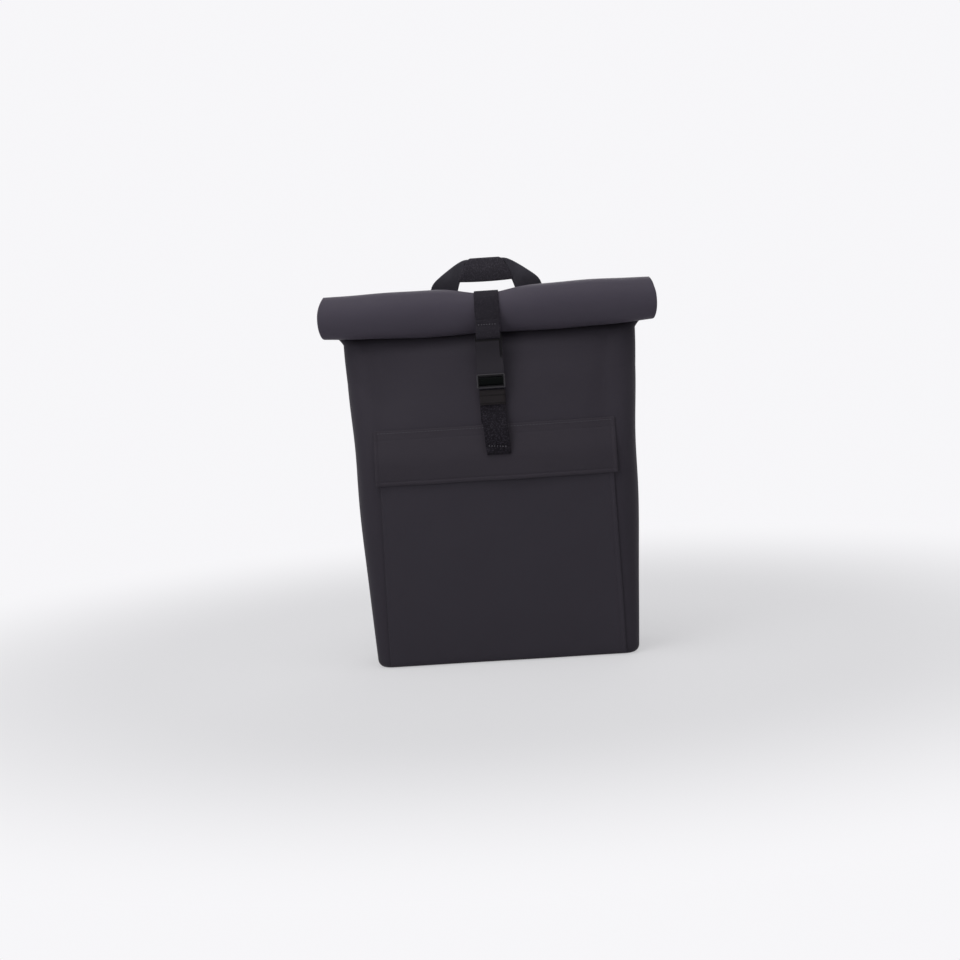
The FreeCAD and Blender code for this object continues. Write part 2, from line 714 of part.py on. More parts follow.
def make_latch(side):
    """Lever that closes the hook under the tube, with a fork and bar for the handle's eye."""
    nose_top = tube_z - tube_radius - latch_nose_gap
    nose_bottom = nose_top - latch_nose_height
    lever_front = pivot_y - 0.5
    lever_back = tube_y - hook_bore_radius - 1.0
    lever = [(lever_front, pivot_z), (lever_front, nose_bottom), (latch_nose_reach - 3.0, nose_bottom),
             (latch_nose_reach, nose_top - 1.5), (latch_nose_reach - 0.5, nose_top), (lever_back, nose_top),
             (pivot_y + latch_boss - 0.6, pivot_z - 6.0), (pivot_y + latch_boss - 0.6, pivot_z)]
    latch = prism_yz(lever, -latch_half, latch_half)
    boss = rod_x(pivot_y, pivot_z, latch_boss, -latch_half, latch_half)
    arms = []
    slope = math.hypot(eye_y - pivot_y, eye_z - pivot_z)
    lift = ((eye_z - pivot_z) / slope, -(eye_y - pivot_y) / slope)
    arm_half = eye_bar_radius + 1.2
    outline = [(pivot_y + lift[0] * arm_half, pivot_z + lift[1] * arm_half),
               (eye_y + lift[0] * arm_half, eye_z + lift[1] * arm_half),
               (eye_y - lift[0] * arm_half, eye_z - lift[1] * arm_half),
               (pivot_y - lift[0] * arm_half, pivot_z - lift[1] * arm_half)]
    for inner in (-latch_half, latch_half - latch_arm_thickness):
        arm = prism_yz(outline, inner, inner + latch_arm_thickness)
        arms += [arm, rod_x(eye_y, eye_z, arm_half, inner, inner + latch_arm_thickness)]
    bar = rod_x(eye_y, eye_z, eye_bar_radius, -latch_half, latch_half)
    latch = latch.fuse([boss, bar] + arms).removeSplitter()
    bore = pin_radius + pin_running_clearance
    latch = latch.cut(rod_x(pivot_y, pivot_z, bore, -latch_half - 1, latch_half + 1))
    latch.translate(V(side * hook_spacing_half, 0, 0))
    return latch


def make_latch_pin(side):
    pin = rod_x(pivot_y, pivot_z, pin_radius, -rack_hook_half, rack_hook_half)
    pin.translate(V(side * hook_spacing_half, 0, 0))
    return pin


def make_rail(half_length, bottom, top):
    """Extruded rail with a lipped groove along its face, screwed to the back board."""
    rail = block(-half_length, half_length, 0, rail_depth, bottom, top)
    middle = (bottom + top) / 2
    mouth = block(-half_length - 1, half_length + 1, rail_depth - rail_groove_depth, rail_depth + 1,
                  middle - 5.5, middle + 5.5)
    undercut = block(-half_length - 1, half_length + 1, rail_depth - rail_groove_depth,
                     rail_depth - rail_groove_depth + 2.0, middle - 5.5 - rail_groove, middle + 5.5 + rail_groove)
    rail = rail.cut(mouth).cut(undercut)
    return rail.cut(screw_holes())


def make_screws():
    solids = []
    floor = rail_depth - rail_groove_depth
    depth = floor + fabric_wall + board_thickness + washer_thickness
    for x, z in screw_places():
        shank = Part.makeCylinder(screw_radius, depth, V(x, floor - depth, z), Y_AXIS)
        head = Part.makeCylinder(screw_head_radius, screw_head_height, V(x, floor, z), Y_AXIS)
        socket = Part.makeCylinder(1.6, 1.5, V(x, floor + screw_head_height - 1.5, z), Y_AXIS)
        solids.append(shank.fuse(head).cut(socket).removeSplitter())
    return Part.makeCompound(solids)


def make_washers():
    solids = []
    back = -fabric_wall - board_thickness
    for x, z in screw_places():
        washer = Part.makeCylinder(washer_radius, washer_thickness, V(x, back - washer_thickness, z), Y_AXIS)
        solids.append(washer.cut(screw_holes()))
    return Part.makeCompound(solids)


swivel_z = (lower_rail_bottom + lower_rail_top) / 2
swivel_end = strut_y - strut_radius - tube_clearance - swivel_cap


def make_lower_carriage():
    """Slider with a T foot in the lower rail's groove and a boss for the swivelling hook."""
    clear = carriage_clearance
    groove_y = rail_depth - rail_groove_depth
    foot = block(-carriage_half_width, carriage_half_width, groove_y + clear, groove_y + 2.0 - clear,
                 swivel_z - 5.5 - rail_groove + clear, swivel_z + 5.5 + rail_groove - clear)
    neck = block(-carriage_half_width, carriage_half_width, groove_y + clear, rail_depth + 0.5,
                 swivel_z - 5.5 + clear, swivel_z + 5.5 - clear)
    plate = block(-carriage_half_width, carriage_half_width, rail_depth + 2 * clear,
                  rail_depth + carriage_thickness, swivel_z - 11.0, swivel_z + 11.0)
    upright = [edge for edge in plate.Edges if abs(edge.Vertexes[0].Y - edge.Vertexes[-1].Y) > 1]
    plate = plate.makeFillet(3.0, upright)
    plate_face = rail_depth + carriage_thickness
    boss = Part.makeCylinder(swivel_radius, swivel_end - soft_gap - plate_face + 1,
                             V(0, plate_face - 1, swivel_z), Y_AXIS)
    return foot.fuse([neck, plate, boss]).removeSplitter()


def make_lower_hook():
    """Open ring that clips round the rack's strut, with a collar that turns on the carriage's boss."""
    outer = strut_radius + tube_clearance + lower_hook_wall
    low = swivel_z - lower_hook_half_height
    ring = Part.makeCylinder(outer, 2 * lower_hook_half_height, V(0, strut_y, low))
    start = rail_depth + carriage_thickness + carriage_clearance
    collar = Part.makeCylinder(swivel_radius + 3.0, strut_y - strut_radius - start, V(0, start, swivel_z), Y_AXIS)
    base = Part.makeBox(2 * outer, 3.0, 2 * lower_hook_half_height - 4.0,
                        V(-outer, strut_y - outer - 0.6, low + 2.0))
    hook = ring.fuse([collar, base])
    bore = Part.makeCylinder(strut_radius + tube_clearance, 2 * cut_reach, V(0, strut_y, swivel_z - cut_reach))
    boss_room = swivel_radius + pin_running_clearance
    plate_face = rail_depth + carriage_thickness
    pocket = Part.makeCylinder(boss_room, swivel_end - plate_face, V(0, plate_face, swivel_z), Y_AXIS)
    hook = hook.cut(bore).cut(pocket)
    half_angle = math.radians(lower_hook_gap_degrees / 2)
    reach = 3 * outer
    wedge = Part.Face(Part.makePolygon([
        V(0, strut_y, low - 1), V(reach * math.sin(half_angle), strut_y + reach * math.cos(half_angle), low - 1),
        V(-reach * math.sin(half_angle), strut_y + reach * math.cos(half_angle), low - 1),
        V(0, strut_y, low - 1)])).extrude(V(0, 0, 2 * lower_hook_half_height + 2))
    return hook.cut(wedge).removeSplitter()


def build():
    nodes = make_body_panels()
    holes = screw_holes()
    nodes["back_panel"] = nodes["back_panel"].cut(holes)
    nodes["closure_collar"] = make_closure_collar()
    nodes["roll_top"] = make_roll_top()
    nodes["mouth_stiffener"] = make_mouth_stiffener()
    nodes["back_board"] = make_back_board().cut(holes)
    nodes["base_board"] = make_base_board()
    nodes["pocket_panel"] = make_pocket_panel()
    flap_hem, flap, loop_strip, hook_strip = make_flap_parts()
    nodes["flap_hem"] = flap_hem
    nodes["pocket_flap"] = flap
    nodes["pocket_loop_tape"] = loop_strip
    nodes["flap_hook_tape"] = hook_strip
    nodes["closure_strap"] = make_closure_strap()
    nodes["closure_hook"] = make_closure_hook()
    nodes["strap_bar"] = make_strap_bar()
    nodes["lower_strap"] = make_lower_strap()
    nodes["strap_keeper"] = make_strap_keeper()
    nodes["strap_tail"] = make_strap_tail()
    nodes["handle_grip"] = make_handle_grip()
    nodes["upper_rail"] = make_rail(upper_rail_half, upper_rail_bottom, upper_rail_top)
    nodes["lower_rail"] = make_rail(lower_rail_half, lower_rail_bottom, lower_rail_top)
    nodes["rail_screws"] = make_screws()
    nodes["rail_washers"] = make_washers()
    nodes["lower_carriage"] = make_lower_carriage()
    nodes["lower_hook"] = make_lower_hook()
    for name, side in (("left", -1), ("right", 1)):
        nodes["handle_leg_" + name] = make_handle_leg(side)
        nodes["rack_hook_" + name] = make_rack_hook(side)
        nodes["tube_insert_" + name] = make_tube_insert(side)
        nodes["latch_" + name] = make_latch(side)
        nodes["latch_pin_" + name] = make_latch_pin(side)
    return nodes


def main():
    nodes = build()
    box = FreeCAD.BoundBox()
    for shape in nodes.values():
        box.add(shape.BoundBox)
    shift = V(0, -(box.YMin + box.YMax) / 2, 0)
    os.makedirs("parts", exist_ok=True)
    for name, shape in nodes.items():
        shape.translate(shift)
        shape.exportStep(os.path.join("parts", name + ".step"))
    print("box", box, "shift y", round(shift.y, 4))
    print("flap hinge", flap_line()[1], "tail hinge", tail_pivot, "latch eye", (eye_y, eye_z))
    for name, shape in nodes.items():
        if not shape.isValid() or len(shape.Solids) < 1:
            print("check", name, shape.isValid(), len(shape.Solids))
    print("solids", {name: len(shape.Solids) for name, shape in nodes.items() if len(shape.Solids) != 1})


main()
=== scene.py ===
import bpy
import bmesh
import math
import numpy as np
from mathutils import Matrix, Vector


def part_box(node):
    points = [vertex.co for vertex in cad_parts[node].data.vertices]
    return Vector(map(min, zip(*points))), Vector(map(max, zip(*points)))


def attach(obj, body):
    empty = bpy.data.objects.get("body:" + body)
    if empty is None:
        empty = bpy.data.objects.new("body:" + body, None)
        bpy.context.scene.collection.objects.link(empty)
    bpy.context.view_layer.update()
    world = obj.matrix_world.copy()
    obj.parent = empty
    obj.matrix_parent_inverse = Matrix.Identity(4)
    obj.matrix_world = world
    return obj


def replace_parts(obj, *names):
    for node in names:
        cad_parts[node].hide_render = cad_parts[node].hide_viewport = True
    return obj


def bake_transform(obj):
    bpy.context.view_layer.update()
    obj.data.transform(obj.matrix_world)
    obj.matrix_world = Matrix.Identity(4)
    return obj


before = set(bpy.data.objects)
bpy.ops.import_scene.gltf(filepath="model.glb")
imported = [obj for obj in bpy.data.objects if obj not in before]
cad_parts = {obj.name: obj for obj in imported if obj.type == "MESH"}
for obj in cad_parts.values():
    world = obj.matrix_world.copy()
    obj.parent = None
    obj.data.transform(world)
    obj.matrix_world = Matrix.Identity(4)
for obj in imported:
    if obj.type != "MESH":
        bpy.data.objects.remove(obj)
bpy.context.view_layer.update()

# Camera. It stands three metres in front of the bag, a little above it and to its right, and is
# rolled so that the bag leans as it does where it hangs.
camera_distance = 3.0
camera_focal_pixels = 2344.0
camera_elevation = math.radians(7.0)
camera_azimuth = math.radians(1.5)
camera_roll = math.radians(3.8)
sensor_width = 36.0
image_size = 960
front_to_middle = 0.0711
camera_target = Vector((-0.0220, -front_to_middle, 0.2372))

forward = Vector((-math.sin(camera_azimuth) * math.cos(camera_elevation),
                  math.cos(camera_azimuth) * math.cos(camera_elevation),
                  -math.sin(camera_elevation)))
right = Vector((math.cos(camera_azimuth), math.sin(camera_azimuth), 0.0))
above = right.cross(forward)
rolled_right = math.cos(camera_roll) * right - math.sin(camera_roll) * above
rolled_up = math.sin(camera_roll) * right + math.cos(camera_roll) * above
camera_data = bpy.data.cameras.new("camera")
camera_data.sensor_width = sensor_width
camera_data.lens = sensor_width * camera_focal_pixels / image_size
camera_data.clip_end = 100.0
camera = bpy.data.objects.new("camera", camera_data)
camera.matrix_world = (Matrix.Translation(camera_target - forward * camera_distance)
                       @ Matrix((rolled_right, rolled_up, -forward)).transposed().to_4x4())
bpy.context.scene.collection.objects.link(camera)
bpy.context.scene.camera = camera
bpy.context.scene.view_settings.view_transform = "Standard"


class Field:
    """A shader socket that takes part in Python sums; each operator adds one Math node."""

    def __init__(self, paint, socket):
        self.paint = paint
        self.socket = socket

    def math(self, operation, *others):
        """One Math node whose first input is this socket."""
        values = dict(enumerate((self,) + others))
        node = self.paint.node("ShaderNodeMath", {"operation": operation}, values)
        return Field(self.paint, node.outputs[0])

    def __add__(self, other):
        return self.math("ADD", other)

    def __sub__(self, other):
        return self.math("SUBTRACT", other)

    def __rsub__(self, other):
        node = self.paint.node("ShaderNodeMath", {"operation": "SUBTRACT"}, {0: other, 1: self})
        return Field(self.paint, node.outputs[0])

    def __mul__(self, other):
        return self.math("MULTIPLY", other)

    def __truediv__(self, other):
        return self.math("DIVIDE", other)

    def sin(self):
        return self.math("SINE")

    def cos(self):
        return self.math("COSINE")

    def abs(self):
        return self.math("ABSOLUTE")

    def smooth(self, low, high):
        """Zero below low, one above high, with a smooth step between."""
        node = self.paint.node("ShaderNodeMapRange", {"interpolation_type": "SMOOTHSTEP"},
                               {"Value": self, "From Min": low, "From Max": high})
        return Field(self.paint, node.outputs["Result"])


class Paint:
    """One procedural material; node() adds a node with its settings first and then its inputs. A
    colour may be given there as three numbers."""

    def __init__(self, name, roughness=0.6, metallic=0.0, **sockets):
        self.material = bpy.data.materials.new(name)
        self.material.use_nodes = True
        self.tree = self.material.node_tree
        self.shader = self.tree.nodes["Principled BSDF"]
        self.shader.inputs["Roughness"].default_value = roughness
        self.shader.inputs["Metallic"].default_value = metallic
        for socket, value in sockets.items():
            self.shader.inputs[socket.replace("_", " ")].default_value = value

    def node(self, kind, settings=None, inputs=None):
        made = self.tree.nodes.new(kind)
        for key, value in (settings or {}).items():
            setattr(made, key, value)
        for key, value in (inputs or {}).items():
            socket = made.inputs[key]
            if isinstance(value, Field):
                self.tree.links.new(value.socket, socket)
            elif isinstance(value, tuple) and len(value) == 3:
                socket.default_value = (*value, 1.0)
            else:
                socket.default_value = value
        return made

    def place(self):
        """Object coordinates in metres, as one vector and as three fields."""
        coordinates = self.node("ShaderNodeTexCoord").outputs["Object"]
        apart = self.node("ShaderNodeSeparateXYZ", None, {0: Field(self, coordinates)})
        return Field(self, coordinates), [Field(self, out) for out in apart.outputs]

    def cloth_place(self):
        """The piece's own UV map in metres: along it, and across it."""
        mapped = self.node("ShaderNodeUVMap", {"uv_map": "cloth"}).outputs["UV"]
        apart = self.node("ShaderNodeSeparateXYZ", None, {0: Field(self, mapped)})
        return Field(self, apart.outputs[0]), Field(self, apart.outputs[1])

    def noise(self, vector, scale, detail=3.0, rough=0.5):
        """Noise between about 0 and 1, with scale cells per metre."""
        made = self.node("ShaderNodeTexNoise", None,
                         {"Vector": vector, "Scale": scale, "Detail": detail, "Roughness": rough})
        return Field(self, made.outputs["Fac"])

    def mix(self, share, first, second):
        """The first colour at share 0 and the second at share 1."""
        made = self.node("ShaderNodeMix", {"data_type": "RGBA"}, {0: share, 6: first, 7: second})
        return Field(self, made.outputs[2])

    def colour(self, field):
        self.tree.links.new(field.socket, self.shader.inputs["Base Color"])

    def rough(self, field):
        self.tree.links.new(field.socket, self.shader.inputs["Roughness"])

    def bump(self, height, distance, strength=1.0):
        """Height field in units of distance, in metres."""
        made = self.node("ShaderNodeBump", None,
                         {"Height": height, "Distance": distance, "Strength": strength})
        self.tree.links.new(made.outputs[0], self.shader.inputs["Normal"])


# Floor. A wide pale sheet that carries the soft shadow. Away from the bag the camera and gloss see
# it turn into the plain backdrop, so no horizon shows.
backdrop_colour = (0.93, 0.925, 0.945, 1.0)
floor_half = 12.0
floor_fade = (0.45, 1.10)
floor_glow = 0.50
floor_mesh = bpy.data.meshes.new("floor")
floor_mesh.from_pydata([(-floor_half, -floor_half, 0), (floor_half, -floor_half, 0),
                        (floor_half, floor_half, 0), (-floor_half, floor_half, 0)], [], [(0, 1, 2, 3)])
floor = bpy.data.objects.new("floor", floor_mesh)
bpy.context.scene.collection.objects.link(floor)
floor_paint = Paint("floor_paper", roughness=0.9)
floor_paint.shader.inputs["Base Color"].default_value = (0.80, 0.80, 0.81, 1.0)
floor_x, floor_y = floor_paint.place()[1][:2]
from_bag = (floor_x * floor_x + floor_y * floor_y).math("SQRT")
floor_rays = floor_paint.node("ShaderNodeLightPath").outputs
seen_ray = Field(floor_paint, floor_rays["Is Camera Ray"]).math(
    "MAXIMUM", Field(floor_paint, floor_rays["Is Glossy Ray"])).math(
    "MAXIMUM", Field(floor_paint, floor_rays["Is Transmission Ray"]))
plain = floor_paint.node("ShaderNodeEmission", None, {"Color": backdrop_colour, "Strength": 1.0})
backdrop_share = (from_bag.smooth(*floor_fade) * (1 - floor_glow) + floor_glow) * seen_ray
floor_mix = floor_paint.node("ShaderNodeMixShader", None, {"Fac": backdrop_share})
floor_surface = floor_paint.tree.nodes["Material Output"].inputs["Surface"]
floor_paint.tree.links.new(floor_paint.shader.outputs[0], floor_mix.inputs[1])
floor_paint.tree.links.new(plain.outputs[0], floor_mix.inputs[2])
floor_paint.tree.links.new(floor_mix.outputs[0], floor_surface)
floor_mesh.materials.append(floor_paint.material)

# World and lamps. A plain level of soft light from above and in front, with the backdrop's colour
# for what the camera and reflections see.
world = bpy.data.worlds.new("studio")
bpy.context.scene.world = world
world.use_nodes = True
world_tree = world.node_tree
world_tree.nodes.clear()
rays = world_tree.nodes.new("ShaderNodeLightPath")
seen = world_tree.nodes.new("ShaderNodeBackground")
seen.inputs["Color"].default_value = backdrop_colour
seen.inputs["Strength"].default_value = 1.0
fill = world_tree.nodes.new("ShaderNodeBackground")
fill.inputs["Color"].default_value = (0.95, 0.96, 1.0, 1.0)
fill.inputs["Strength"].default_value = 0.20
seen_rays = rays.outputs["Is Camera Ray"]
for kind in ("Is Glossy Ray", "Is Transmission Ray"):
    larger = world_tree.nodes.new("ShaderNodeMath")
    larger.operation = "MAXIMUM"
    world_tree.links.new(seen_rays, larger.inputs[0])
    world_tree.links.new(rays.outputs[kind], larger.inputs[1])
    seen_rays = larger.outputs[0]
chosen = world_tree.nodes.new("ShaderNodeMixShader")
world_tree.links.new(seen_rays, chosen.inputs[0])
world_tree.links.new(fill.outputs[0], chosen.inputs[1])
world_tree.links.new(seen.outputs[0], chosen.inputs[2])
world_out = world_tree.nodes.new("ShaderNodeOutputWorld")
world_tree.links.new(chosen.outputs[0], world_out.inputs[0])


def softbox(name, place, aim, size, watts, colour=(1.0, 1.0, 1.0)):
    """A square lamp of one size that faces a point."""
    data = bpy.data.lights.new(name, "AREA")
    data.shape = "SQUARE"
    data.size = size
    data.energy = watts
    data.color = colour
    lamp = bpy.data.objects.new(name, data)
    lamp.location = place
    lamp.rotation_euler = (Vector(aim) - Vector(place)).to_track_quat("-Z", "Y").to_euler()
    bpy.context.scene.collection.objects.link(lamp)


softbox("top_light", (-0.3, -0.5, 2.4), (0, 0, 0.3), 1.8, 20.5)
softbox("front_left_light", (-1.9, -2.4, 1.5), (0, 0, 0.25), 1.6, 15.5, (0.97, 0.98, 1.0))
softbox("front_right_light", (2.2, -2.0, 0.9), (0, 0, 0.25), 1.4, 0.8)
softbox("back_light", (0.6, 2.6, 1.6), (0, 0, 0.3), 1.8, 12.0)

# Bag body. One shell of coated cloth: front, back, two side gussets, base and the collar that
# narrows to the roll, filled and slightly slack. Its seams run up both sides of the front.
back_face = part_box("back_panel")[1][1]
bag_height = 0.415
collar_top = 0.440
base_half_width = 0.169
top_half_width = 0.192
seam_half_width = 0.150
roll_half_width = 0.217
base_depth = 0.120
belly_depth = 0.004
belly_height = 0.230
top_depth = 0.052
lean_power = 1.8
base_edge_radius = 0.009
collar_setback = 0.019
collar_thickness = 0.004


def body_half_width(z):
    """Half width that grows evenly with height."""
    return base_half_width + (top_half_width - base_half_width) * z / bag_height


def body_depth(z):
    """A half-sine belly low down, and a power curve that leans the front back to the collar."""
    belly = belly_depth * np.sin(np.pi * np.minimum(z / belly_height, 1.0))
    rise = np.maximum(0.0, (z - belly_height) / (bag_height - belly_height))
    return base_depth + belly - (base_depth - top_depth) * rise ** lean_power


def front(z):
    """Y of the front cloth at height z."""
    return back_face - body_depth(np.asarray(z, dtype=float))


def link_piece(name, body, vertices, faces, paint, uv=None):
    """Make a smooth mesh object from arrays; uv gives one pair for each corner of each face. A piece
    with no body is left unattached. A piece that bends across a joint has no body here."""
    mesh = bpy.data.meshes.new(name)
    mesh.from_pydata([tuple(v) for v in np.asarray(vertices)], [], [list(face) for face in faces])
    if uv is not None:
        layer = mesh.uv_layers.new(name="cloth")
        layer.data.foreach_set("uv", np.asarray(uv, dtype=np.float32).ravel())
    mesh.materials.append(paint.material)
    mesh.polygons.foreach_set("use_smooth", [True] * len(mesh.polygons))
    work = bmesh.new()
    work.from_mesh(mesh)
    bmesh.ops.recalc_face_normals(work, faces=work.faces)
    work.to_mesh(mesh)
    work.free()
    piece = bpy.data.objects.new(name, mesh)
    bpy.context.scene.collection.objects.link(piece)
    if body:
        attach(piece, body)
    return piece


def grid_faces(rows, columns, close_columns=False):
    """Quads between neighbouring rows and columns of a grid of points."""
    row, column = np.meshgrid(np.arange(rows - 1), np.arange(columns if close_columns else columns - 1),
                              indexing="ij")
    beside = (column + 1) % columns
    quads = np.stack([row * columns + column, row * columns + beside,
                      (row + 1) * columns + beside, (row + 1) * columns + column], axis=-1)
    return quads.reshape(-1, 4)


def cloth_sheet(name, body, surface, thickness, paint, along=None, across=None):
    """Closed sheet: the surface moved half a thickness both ways along its normal, with a half-round
    edge all round. along and across are the UV lengths of each point."""
    rows, columns = surface.shape[:2]
    tangent_row = np.gradient(surface, axis=0)
    tangent_column = np.gradient(surface, axis=1)
    normal = np.cross(tangent_column, tangent_row)
    normal /= np.linalg.norm(normal, axis=2, keepdims=True) + 1e-12
    rim = [(0, c) for c in range(columns - 1)] + [(r, columns - 1) for r in range(rows - 1)]
    rim += [(rows - 1, c) for c in range(columns - 1, 0, -1)] + [(r, 0) for r in range(rows - 1, 0, -1)]
    rim = np.array(rim)
    inner = np.stack([np.clip(rim[:, 0], 1, rows - 2), np.clip(rim[:, 1], 1, columns - 2)], axis=1)
    edge = surface[rim[:, 0], rim[:, 1]]
    out = edge - surface[inner[:, 0], inner[:, 1]]
    out /= np.linalg.norm(out, axis=1, keepdims=True) + 1e-12
    half = thickness / 2
    rim_normal = normal[rim[:, 0], rim[:, 1]]
    turns = [out * half * math.cos(angle) + rim_normal * half * math.sin(angle)
             for angle in (math.pi / 4, 0.0, -math.pi / 4)]
    front_side = (surface + normal * half).reshape(-1, 3)
    back_side = (surface - normal * half).reshape(-1, 3)
    count = rows * columns
    vertices = np.vstack([front_side, back_side] + [edge + turn for turn in turns])
    faces = grid_faces(rows, columns)
    rings = [rim[:, 0] * columns + rim[:, 1]]
    rings += [2 * count + step * len(rim) + np.arange(len(rim)) for step in range(3)]
    rings.append(count + rings[0])
    strips = [np.stack([first, np.roll(first, -1), np.roll(second, -1), second], axis=-1)
              for first, second in zip(rings, rings[1:])]
    faces = np.vstack([faces, faces[:, ::-1] + count] + strips)
    uv = None
    if along is not None:
        u, v = along.reshape(-1), across.reshape(-1)
        u = np.concatenate([u, u] + [along[rim[:, 0], rim[:, 1]]] * 3)
        v = np.concatenate([v, v] + [across[rim[:, 0], rim[:, 1]]] * 3)
        uv = np.stack([u[faces], v[faces]], axis=-1)
    return link_piece(name, body, vertices, faces, paint, uv)


def cloth_paint(name, dark, light, rough):
    """Matt coated cloth: cloudy colour, a fine weave under the coat, and tiny dimples."""
    paint = Paint(name, roughness=rough, Specular_IOR_Level=0.07, Sheen_Weight=0.02, Sheen_Roughness=0.5)
    vector, (x, y, z) = paint.place()
    clouds = paint.noise(vector, 9.0, 4.0, 0.55)
    specks = paint.noise(vector, 1400.0, 2.0, 0.6)
    paint.colour(paint.mix(clouds * 0.6 + specks * 0.4, dark, light))
    paint.rough(clouds * 0.08 + specks * 0.07 + (rough - 0.08))
    thread = 2.0 * math.pi / 0.0011
    weave = (x * thread).sin() * (z * thread).sin() + (y * thread).sin() * (z * thread).cos() * 0.6
    dents = paint.noise(vector, 55.0, 3.0, 0.5)
    paint.bump(weave * 0.16 + specks * 0.9 + dents * 3.0, 0.00016, 0.5)
    return paint


bag_cloth = cloth_paint("bag_cloth", (0.0435, 0.0380, 0.0488), (0.0540, 0.0477, 0.0600), 0.56)


def clamped(value):
    """The value, held between 0 and 1."""
    return np.clip(value, 0, 1)


def soft_step(value):
    """Zero below 0, one above 1, and between them three squares less two cubes."""
    share = clamped(value)
    return share * share * (3 - 2 * share)


def bell(x, z, middle_x, middle_z, wide, tall):
    """A smooth bell over the cloth, one at its middle."""
    return np.exp(-((x - middle_x) / wide) ** 2 - ((z - middle_z) / tall) ** 2)


def front_relief(x, z):
    """How far the slack front cloth stands out: a crown, the dents under the roll, and soft pulls."""
    across = clamped(np.abs(x) / seam_half_width)
    crown = 0.0022 * (1 - across ** 2) * clamped(z / 0.06) * clamped((0.40 - z) / 0.12)
    dent_left = -0.0072 * bell(x, z, -0.138, 0.350, 0.034, 0.042)
    dent_right = -0.0055 * bell(x, z, 0.150, 0.345, 0.026, 0.065)
    pull_left = 0.0046 * bell(x, z, -0.060, 0.384, 0.052, 0.022)
    pull_right = 0.0048 * bell(x, z, 0.085, 0.376, 0.060, 0.028)
    fold = 0.0012 * bell(x - 0.25 * (z - 0.35), z, 0.128, 0.360, 0.013, 0.045)
    crease = -0.0014 * bell(x + 0.9 * (z - 0.36), z, -0.165, 0.360, 0.010, 0.030)
    under_roll = 0.0060 * np.exp(-((z - 0.404) / 0.016) ** 2) * clamped(1.1 - across ** 4)
    ripple = 0.00040 * np.sin(38 * x + 3.0 * np.sin(17 * z)) * np.sin(29 * z + 1.3)
    return crown + dent_left + dent_right + pull_left + pull_right + fold + crease + under_roll + ripple


def ring_pattern(front_points, arc_points, side_points, back_points):
    """Corner shares and normals round a rounded rectangle, from the front's left end, +X first."""
    sides = [(front_points, (-1, -1), (1, -1), -90), (side_points, (1, -1), (1, 1), 0),
             (back_points, (1, 1), (-1, 1), 90), (side_points, (-1, 1), (-1, -1), 180)]
    columns = []
    for count, start, end, facing in sides:
        along = np.linspace(0, 1, count, endpoint=False)[:, None]
        shares = np.array(start) + (np.array(end) - np.array(start)) * along
        angle = np.radians(np.full(count, facing))
        columns.append(np.column_stack([shares, np.cos(angle), np.sin(angle)]))
        angle = np.radians(facing + np.linspace(0, 90, arc_points, endpoint=False))
        columns.append(np.column_stack([np.tile(end, (arc_points, 1)), np.cos(angle), np.sin(angle)]))
    return np.vstack(columns).T


def body_surface():
    """Rings of the shell from the middle of the base, up the wall, to the collar's flat tip."""
    share_x, share_y, normal_x, normal_y = ring_pattern(140, 14, 22, 60)
    turn = np.linspace(0, np.pi / 2, 8)
    wall = np.linspace(base_edge_radius, bag_height, 160)[1:]
    z = np.concatenate([base_edge_radius * (1 - np.cos(turn)), wall])[:, None]
    inset = np.concatenate([base_edge_radius * (1 - np.sin(turn)), np.zeros(len(wall))])[:, None]
    depth = body_depth(z)
    corner = np.minimum(body_half_width(z) - seam_half_width, depth / 2 - 0.001) - inset
    y_front, y_back = back_face - depth + inset, back_face - inset
    x = share_x * (body_half_width(z) - inset - corner) + normal_x * corner
    y = (y_front + y_back) / 2 + share_y * ((y_back - y_front) / 2 - corner) + normal_y * corner
    z = z + 0 * x
    y = y - clamped(-normal_y) * front_relief(x, z)
    middle_y = back_face - 0.5 * depth
    fold = np.exp(-((y - middle_y) / 0.014) ** 2) * clamped((z - 0.27) / 0.145) ** 1.3
    slack = 0.0018 * np.sin(24 * z + 0.8) * np.sin(31 * (y - back_face))
    waist = 0.0022 * np.exp(-((z - 0.275) / 0.05) ** 2)
    x = x + np.sign(x) * np.abs(normal_x) ** 2 * (slack - 0.003 * fold - waist)
    step = np.linspace(0, 1, 22)[1:, None]
    tip_x = share_x * (roll_half_width - collar_thickness / 2) + normal_x * collar_thickness / 2
    tip_y = back_face - collar_setback + normal_y * collar_thickness / 2
    gather = np.sin(np.pi * step) * 0.0010 * np.sin(60 * x[-1] + 2 * np.sin(23 * x[-1]))
    shoulder = step ** 1.25
    collar = [x[-1] * (1 - shoulder) + tip_x * shoulder, y[-1] * (1 - step) + tip_y * step + gather,
              bag_height + (collar_top - bag_height) * step + 0 * x[-1]]
    ring = np.array([0.25, 0.6, 0.94])[:, None]
    base_y = (y_front[0] + y_back[0]) / 2
    base = [x[0] * ring, base_y + (y[0] - base_y) * ring, 0 * x[0] * ring]
    return np.stack([np.vstack([low, middle, high]) for low, middle, high in
                     zip(base, (x, y, z), collar)], axis=-1)


shell = body_surface()
rows, columns = shell.shape[:2]
shell_faces = grid_faces(rows, columns, close_columns=True).tolist()
shell_faces += [list(range(columns)), list(range((rows - 1) * columns, rows * columns))]
bag_body = link_piece("bag_body", "bag", shell.reshape(-1, 3), shell_faces, bag_cloth)
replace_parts(bag_body, "front_panel", "back_panel", "side_gusset_left", "side_gusset_right",
            "base_panel", "closure_collar")

